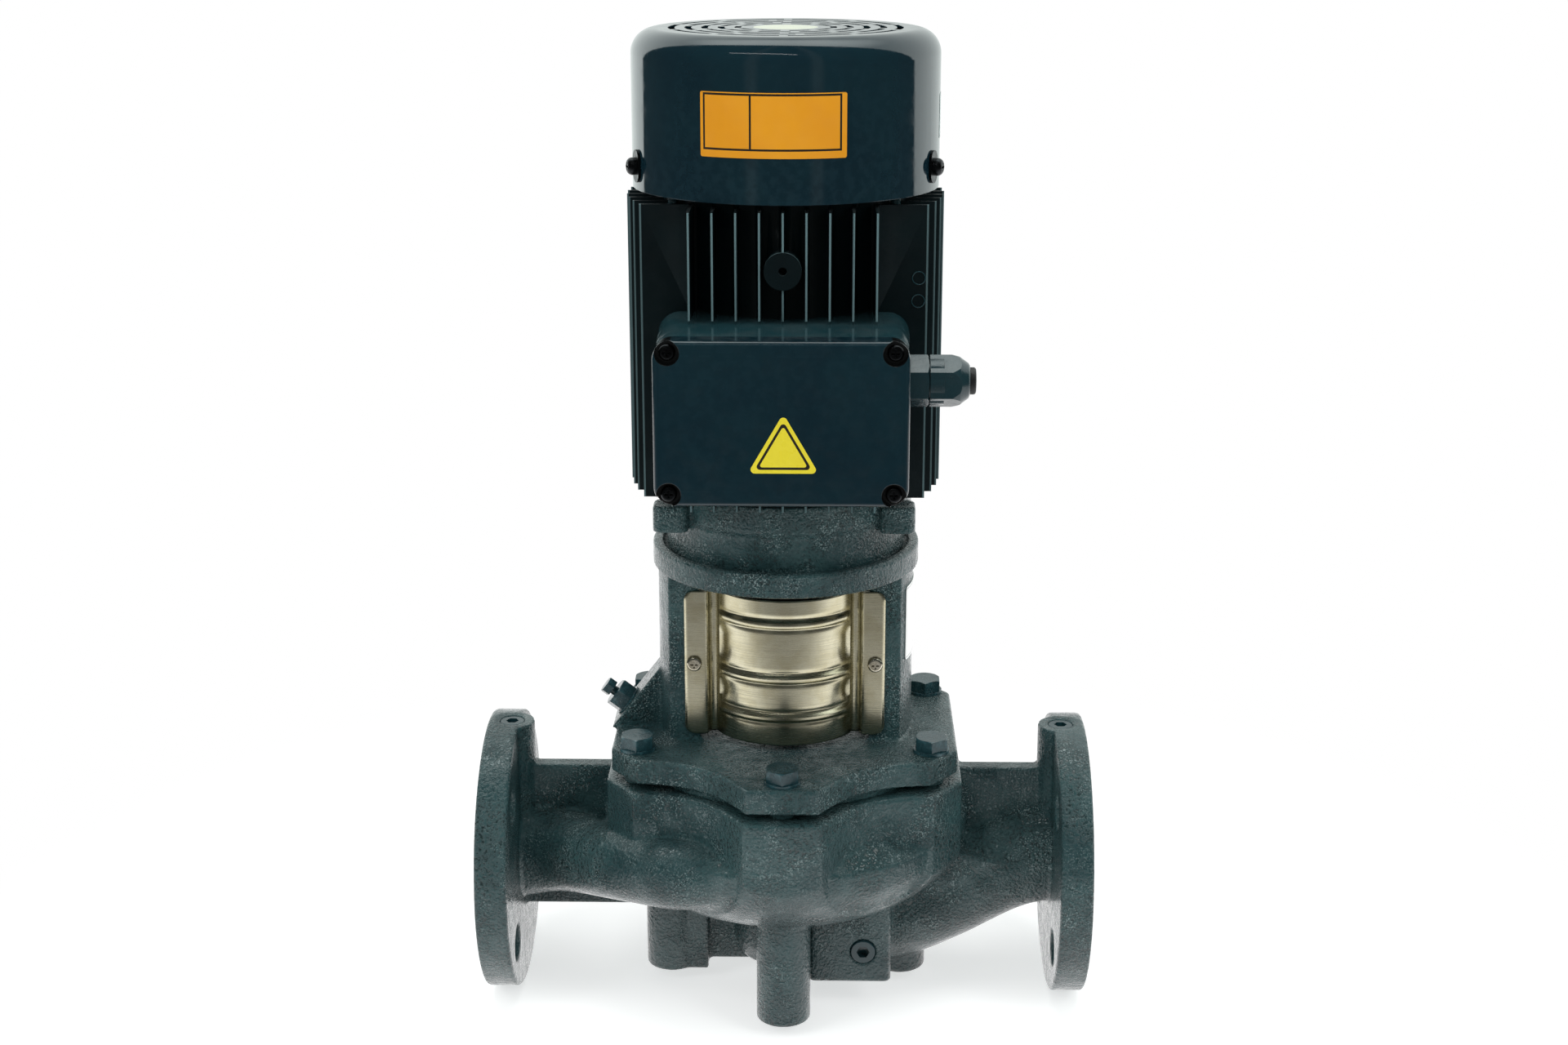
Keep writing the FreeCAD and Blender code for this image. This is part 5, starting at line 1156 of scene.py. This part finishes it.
    def press(self, bm: EditMesh, whole: Outline) -> None:
        """Presses the beads into the upright sheet and rounds the ears' corners.

        Args:
            bm: Upright sheet, its lower edge at Z 0.
            whole: Points of its middle line with their shares.
        """
        centre = Vector((0.0, -self.front + self.bulge, 0.0))
        shares = {(round(p.x, 6), round(p.y, 6)): s for p, s in whole}
        for vert in bm.verts:
            share = shares[(round(vert.co.x, 6), round(vert.co.y, 6))]
            level = vert.co.z
            if share < 0.0 and abs(vert.co.x) > self.ear_in:
                short = max(0.0, self.corner - min(level, self.height - level))
                limit = self.ear_out - self.corner + math.sqrt(max(0.0, self.corner ** 2 - short ** 2))
                part = (abs(vert.co.x) - self.ear_in) / (self.ear_out - self.ear_in)
                vert.co.x = math.copysign(self.ear_in + part * (limit - self.ear_in), vert.co.x)
            elif share > 0.0:
                out, draw = self.swelling(share, level)
                away = (Vector((vert.co.x, vert.co.y, 0.0)) - centre).normalized()
                vert.co += away * out
                vert.co.x -= math.copysign(draw, vert.co.x) if abs(vert.co.x) > MM else 0.0


@dataclass
class RunningGear(Assembly):
    """Impeller, seal, shafts, coupling and bearings."""

    def build(self) -> None:
        """Dresses the turning pieces and what they run in."""
        self.dress({
            "iron": ("impeller", "coupling_half_front", "coupling_half_rear"),
            "steel": ("impeller_key", "impeller_washer", "impeller_nut", "seal_spring",
                      "lower_bearing_cage", "upper_bearing_cage", "bearing_preload_spring"),
            "ground": ("pump_shaft", "motor_shaft", "bearing_outer_races", "bearing_inner_races"),
            "bright": ("lower_bearing_balls", "upper_bearing_balls"),
            "black_steel": ("coupling_screws",),
            "ceramic": ("seal_seat",),
            "carbon": ("seal_face",),
            "rubber": ("seal_seat_cup", "seal_bellows", "shaft_oil_seal"),
        })


@dataclass
class FinnedFrame(Assembly):
    """Die-cast motor frame: its fins thin out to their tips, and the mould left its marks.

    Attributes:
        fins: Sizes of the fins.
        half_fin: Reach of a fin's vertices from its middle plane.
        last: Number of the outermost fin, counted from the middle one.
        root: Distance from the shaft where a fin starts to thin.
        tip_share: Share of the thickness left at a tip.
        boss: Radius of the lifting boss, which doesn't thin in front of the fins.
        boss_drop: Depth of the boss below the frame's top.
        panel: Distance of the front panel from the shaft.
        marks: X and Z of the mould's marks on it.
        mark: Radius of a mark.
        mark_ring: Width of its ring.
        mark_rise: Height of the ring over the panel.
        mark_root: Depth of the ring in the panel.
    """

    fins: Fins = Fins()
    half_fin: float = 1.3 * MM
    last: int = 4
    root: float = 63.0 * MM
    tip_share: float = 0.42
    boss: float = 9.6 * MM
    boss_drop: float = 32.0 * MM
    panel: float = 48.8 * MM
    marks: Tuple[Tuple[float, float], ...] = ((65.6 * MM, 392.0 * MM), (65.4 * MM, 380.7 * MM))
    mark: float = 3.4 * MM
    mark_ring: float = 0.5 * MM
    mark_rise: float = 0.3 * MM
    mark_root: float = 0.2 * MM

    def build(self) -> None:
        """Builds and dresses the frame."""
        bm = solid_copy("motor_frame")
        boss_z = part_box("motor_frame")[1].z - self.boss_drop
        for vert in bm.verts:
            self.thin(vert, boss_z)
        # The frame takes the darkened enamel, whose colour carries the painted shade between the fins.
        casting = self.show("frame_casting", bm, ("frame_paint",), "motor_paint", angle=16.0)
        even = casting.modifiers.new("even", "WEIGHTED_NORMAL")
        even.keep_sharp = True
        even.weight = 90
        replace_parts(casting, "motor_frame")
        bm = bmesh.new()
        for x, z in self.marks:
            self.mould_mark(bm, Vector((x, -self.panel, z)))
        # The raised marks take the lighter box enamel, against the darkened frame enamel around them.
        self.show("frame_mould_marks", bm, ("box_paint",), "motor_paint")

    def thin(self, vert: bmesh.types.BMVert, boss_z: float) -> None:
        """Draws one vertex towards the middle plane of its fin.

        Args:
            vert: The vertex.
            boss_z: Height of the lifting boss.
        """
        x, y, z = vert.co
        fins = self.fins
        if abs(y) > self.root:
            row = round(x / fins.front_pitch)
            off = x - row * fins.front_pitch
            clear = math.hypot(x, z - boss_z) > self.boss or abs(y) < fins.front_tip + 0.1 * MM
            if abs(row) <= self.last and abs(off) < self.half_fin and clear:
                share = min(1.0, (abs(y) - self.root) / (fins.front_tip - self.root))
                vert.co.x -= off * (1.0 - self.tip_share) * share
        elif abs(x) > self.root:
            row = round(y / fins.side_pitch)
            off = y - row * fins.side_pitch
            if abs(row) < self.last and abs(off) < self.half_fin:
                tip = fins.side_tip - fins.side_drop * row * row
                share = min(1.0, (abs(x) - self.root) / (tip - self.root))
                vert.co.y -= off * (1.0 - self.tip_share) * share

    def mould_mark(self, bm: EditMesh, spot: Vector) -> None:
        """Adds the thin raised ring that an ejector pin leaves.

        Args:
            bm: Edit mesh to add it to.
            spot: Its middle on the panel.
        """
        inner, foot, top = self.mark - self.mark_ring, self.mark_root, -self.mark_rise
        profile = ((inner, foot), (self.mark, foot), (self.mark, top), (inner, top))
        verts = [bm.verts.new(spot + Vector((x, y, 0.0))) for x, y in profile]
        edges = [bm.edges.new((verts[i], verts[(i + 1) % 4])) for i in range(4)]
        bmesh.ops.spin(bm, geom=verts + edges, cent=spot, axis=(0.0, 1.0, 0.0), angle=math.tau,
                       steps=28, use_merge=True)
        bmesh.ops.recalc_face_normals(bm, faces=bm.faces)


@dataclass
class Motor(Assembly):
    """Flange motor: end shields, finned frame, stator, rotor and fan."""

    def build(self) -> None:
        """Builds and dresses the motor."""
        self.cast("motor_end_shield", "shield_casting", "stool", voxel=0.9 * MM, rounds=4, faces=90000)
        FinnedFrame(self.palette).build()
        self.dress({
            # The rear shield gets the same darkened enamel, with its painted shade.
            "frame_paint": ("rear_end_shield",),
            "bolt": ("tie_bolts",),
            "steel": ("motor_flange_bolts", "fan_circlip"),
            "lamination": ("stator_core", "rotor_core"),
            "copper": ("stator_windings",),
            "aluminium": ("rotor_end_rings",),
            "plastic": ("cooling_fan",),
        })


@dataclass
class FanCowl(Assembly):
    """Sheet cowl over the fan with its screws and two blank labels.

    Attributes:
        label: Orange label on the front, its printed frame with one divider.
        side_label: Small pale label on the right flank.
    """

    label: Label = Label(width=math.radians(53.4) * COWL, height=30.4 * MM, radius=COWL + 0.02 * MM,
                         middle=468.1 * MM, azimuth=-3.7, line=1.0 * MM,
                         insets=(2.0 * MM, 3.0 * MM, 3.9 * MM, 1.0 * MM),
                         dividers=(math.radians(-7.8) * COWL,))
    side_label: Label = Label(width=30.0 * MM, height=21.7 * MM, radius=COWL + 0.02 * MM,
                              middle=466.0 * MM, azimuth=93.0, line=0.4 * MM, insets=(0.9 * MM,) * 4)

    def build(self) -> None:
        """Builds and dresses the cowl."""
        self.dress({"sheet_paint": ("fan_cowl",), "black_steel": ("cowl_screws", "cowl_washers")})
        self.show("cowl_label", self.label.build(), ("orange", "ink"), "cowl_paint")
        self.show("cowl_side_label", self.side_label.build(), ("pale", "ink"), "cowl_paint")


@dataclass
class TerminalBox(Assembly):
    """Terminal box with its lid, gland and inner parts.

    Attributes:
        front: Distance of the lid's face from the shaft.
        sign_side: Side of the blank triangle.
        sign_low: Height of its lower edge.
        sign_corner: Radius of its corners.
        sign_edge: Width of the yellow outside the printed line.
        sign_line: Width of the line.
        sign_thick: Thickness of the sticker.
    """

    front: float = 115.0 * MM
    sign_side: float = 33.4 * MM
    sign_low: float = 311.0 * MM
    sign_corner: float = 1.9 * MM
    sign_edge: float = 1.8 * MM
    sign_line: float = 1.2 * MM
    sign_thick: float = 0.06 * MM

    def build(self) -> None:
        """Builds and dresses the box."""
        self.dress({
            "box_paint": ("terminal_box",),
            "lid_paint": ("terminal_box_lid",),
            "rubber": ("terminal_box_gasket", "gland_seal"),
            "steel": ("terminal_box_screws",),
            "black_steel": ("lid_screws",),
            "block": ("terminal_block",),
            "brass": ("terminal_studs",),
            "gland": ("gland_body", "gland_locknut", "gland_nut"),
        })
        self.triangle()

    def triangle(self) -> None:
        """Blank yellow triangle on the lid."""
        bm = bmesh.new()
        inner = self.sign_side / math.sqrt(12)
        rings = [self.corners(bm, inner, self.sign_corner, 0.0)]
        for inset, share in ((0.0, 1.0), (self.sign_edge, 0.8), (self.sign_edge + self.sign_line, 0.5)):
            rings.append(self.corners(bm, inner - inset, self.sign_corner * share, -self.sign_thick))
        bm.faces.new(rings[0])
        bm.faces.new(rings[-1])
        for outer, nearer, slot in zip(rings[:-1], rings[1:], (0, 0, 1)):
            for i in range(len(outer)):
                j = (i + 1) % len(outer)
                bm.faces.new((outer[i], outer[j], nearer[j], nearer[i])).material_index = slot
        bmesh.ops.recalc_face_normals(bm, faces=bm.faces)
        bmesh.ops.translate(bm, vec=(1.0 * MM, -self.front, self.sign_low + inner), verts=bm.verts)
        self.show("lid_triangle", bm, ("yellow", "ink"), "cowl_paint")

    def corners(self, bm: EditMesh, inner: float, corner: float, y: float) -> list:
        """Adds the vertices of an upright triangle with round corners.

        Args:
            bm: Edit mesh to add them to.
            inner: Distance of its sides from the middle.
            corner: Radius of its corners.
            y: Place along Y.

        Returns:
            The vertices in order.
        """
        verts = []
        for turn in (90.0, 210.0, 330.0):
            reach = 2.0 * (inner - corner)
            middle = Vector((math.cos(math.radians(turn)), math.sin(math.radians(turn)))) * reach
            for step in range(7):
                angle = math.radians(turn - 60.0 + 20.0 * step)
                x, z = middle.x + corner * math.cos(angle), middle.y + corner * math.sin(angle)
                verts.append(bm.verts.new((x, y, z)))
        return verts


# Studio


@dataclass
class Studio:
    """Pale floor, soft lamps, white surroundings and the camera.

    Attributes:
        place: Place of the camera.
        pitch: Downward tilt in degrees.
        yaw: Turn to the right in degrees.
        focal: Focal length in picture widths.
        shift: Sideways shift in picture widths.
    """

    place: Tuple[float, float, float] = (0.0220, -1.1415, 0.5873)
    pitch: float = 16.295
    yaw: float = -1.106
    focal: float = 2778.5 / 1920.0
    shift: float = -2.15 / 1920.0

    def build(self) -> None:
        """Builds the camera, the floor, the world and the lamps."""
        self.camera()
        self.floor()
        self.world()
        self.lamps()

    def camera(self) -> None:
        """Camera at the viewing angle of the picture."""
        data = bpy.data.cameras.new("picture_camera")
        data.sensor_width = 36.0
        data.lens = 36.0 * self.focal
        data.shift_x = self.shift
        data.clip_start = 0.05
        data.clip_end = 60.0
        camera = bpy.data.objects.new("picture_camera", data)
        bpy.context.scene.collection.objects.link(camera)
        pitch, yaw = math.radians(self.pitch), math.radians(self.yaw)
        level = math.cos(pitch)
        ahead = Vector((math.sin(yaw) * level, math.cos(yaw) * level, -math.sin(pitch)))
        camera.location = self.place
        camera.rotation_mode = "QUATERNION"
        camera.rotation_quaternion = ahead.to_track_quat("-Z", "Y")
        bpy.context.scene.camera = camera

    def floor(self) -> None:
        """Pale floor that touches the lowest rims of the pump."""
        bm = bmesh.new()
        bmesh.ops.create_circle(bm, cap_ends=True, segments=96, radius=1.5)
        bmesh.ops.translate(bm, vec=(0.0, 0.0, FLANGE_LOW - 0.05 * MM), verts=bm.verts)
        mesh = bpy.data.meshes.new("studio_floor")
        bm.to_mesh(mesh)
        bm.free()
        floor = bpy.data.objects.new("studio_floor", mesh)
        bpy.context.scene.collection.objects.link(floor)
        material = bpy.data.materials.new("studio_floor")
        material.use_nodes = True
        sheet = NodeSheet(material.node_tree)
        shader = sheet.add("BsdfPrincipled", Roughness=0.9, Specular_IOR_Level=0.0)
        sheet.add("OutputMaterial", Surface=shader.outputs["BSDF"])
        position = sheet.add("TexCoord").outputs["Object"]
        depth = sheet.add("SeparateXYZ", Vector=position).outputs["Y"]
        away = sheet.add("VectorMath", {"operation": "LENGTH"}, Vector=position)
        far = sheet.between(away.outputs["Value"], 0.16, 0.50)
        path = sheet.add("LightPath")
        seen, mirrored = path.outputs["Is Camera Ray"], path.outputs["Is Glossy Ray"]
        near = sheet.between(depth, -0.55, -0.28, 0.28, 1.5)
        near = sheet.times(near, sheet.between(depth, -1.25, -0.85, 0.2, 1.0))
        white = sheet.plus(0.58, sheet.times(far, 0.42))
        glow = sheet.plus(sheet.times(mirrored, near), sheet.times(seen, white))
        hidden = sheet.math("MAXIMUM", mirrored, sheet.times(seen, far))
        pale, black = (0.85, 0.85, 0.85, 1.0), (0.0, 0.0, 0.0, 1.0)
        sheet.feed(shader, Base_Color=sheet.blend(hidden, pale, black), Emission_Color=glow,
                   Emission_Strength=1.0)
        mesh.materials.append(material)

    def world(self) -> None:
        """White surroundings for the camera and for reflections from behind."""
        world = bpy.data.worlds.new("studio_world")
        bpy.context.scene.world = world
        world.use_nodes = True
        sheet = NodeSheet(world.node_tree)
        direction = sheet.add("TexCoord").outputs["Generated"]
        parts = sheet.add("SeparateXYZ", Vector=direction)
        side, ahead, up = (parts.outputs[axis] for axis in "XYZ")
        lean = sheet.plus(sheet.plus(ahead, sheet.times(up, 0.50)), sheet.times(side, 0.17))
        tent = sheet.between(lean, 0.44, 0.48)
        flanks = sheet.minus(sheet.times(sheet.size(side), 1.4), sheet.times(side, 0.25))
        bright = sheet.plus(sheet.plus(0.8, flanks), sheet.between(up, 0.70, 1.0, 0.0, 3.0))
        slope = sheet.size(sheet.math("DIVIDE", side, ahead))
        strips = sheet.times(sheet.between(slope, 0.30, 0.42), sheet.between(slope, 0.60, 0.48))
        dark = sheet.plus(0.07, sheet.times(strips, 0.16))
        shown = sheet.plus(sheet.times(tent, bright), sheet.times(sheet.minus(1.0, tent), dark))
        path = sheet.add("LightPath")
        seen = sheet.math("MAXIMUM", path.outputs["Is Camera Ray"], path.outputs["Is Transmission Ray"])
        mirrored = path.outputs["Is Glossy Ray"]
        plain = sheet.times(sheet.minus(1.0, mirrored), 0.5)
        strength = sheet.math("MAXIMUM", seen, sheet.plus(sheet.times(mirrored, shown), plain))
        tone = sheet.blend(seen, (0.93, 1.0, 0.98, 1.0), (1.0, 1.0, 1.0, 1.0))
        light = sheet.add("Background", Color=tone, Strength=strength)
        sheet.add("OutputWorld", Surface=light.outputs["Background"])

    def lamp(self, name: str, place: Sequence[float], aim: Sequence[float], size: Tuple[float, float],
             power: float, mirrored: bool) -> None:
        """Adds one soft lamp.

        Args:
            name: Name of the lamp.
            place: Its place.
            aim: Point that it faces.
            size: Width and height.
            power: Power in watts.
            mirrored: Whether glossy faces show it.
        """
        data = bpy.data.lights.new(name, "AREA")
        data.shape = "RECTANGLE"
        data.size, data.size_y = size
        data.energy = power
        lamp = bpy.data.objects.new(name, data)
        lamp.location = place
        lamp.rotation_mode = "QUATERNION"
        lamp.rotation_quaternion = (Vector(aim) - Vector(place)).to_track_quat("-Z", "Y")
        lamp.visible_glossy = mirrored
        bpy.context.scene.collection.objects.link(lamp)

    def lamps(self) -> None:
        """Soft boxes left, right and overhead, and the narrow strip that the cowl's shoulder shows."""
        middle = (0.0, 0.0, 0.25)
        self.lamp("left_box", (-1.6, -1.3, 1.4), middle, (0.9, 1.2), 12.0, False)
        self.lamp("right_box", (1.6, -1.3, 1.4), middle, (0.9, 1.2), 12.0, False)
        self.lamp("top_box", (0.0, -0.2, 2.0), middle, (1.4, 1.0), 12.0, False)
        self.lamp("ceiling_strip", (-0.52, -1.57, 2.1), (0.0, 0.0, 0.45), (1.8, 0.03), 2.6, True)


# Closing steps


def main() -> None:
    """Builds the studio, the finishes and each sub-assembly in order."""
    logging.basicConfig(level=logging.INFO, format="%(name)s: %(message)s")
    Studio().build()
    palette = mixed()
    for kind in (PumpCasing, MotorStool, CouplingGuard, RunningGear, Motor, FanCowl, TerminalBox):
        kind(palette).build()
        log.info("%s is built", kind.__name__)
    bpy.context.scene.view_settings.view_transform = "Standard"


if __name__ == "__main__":
    main()
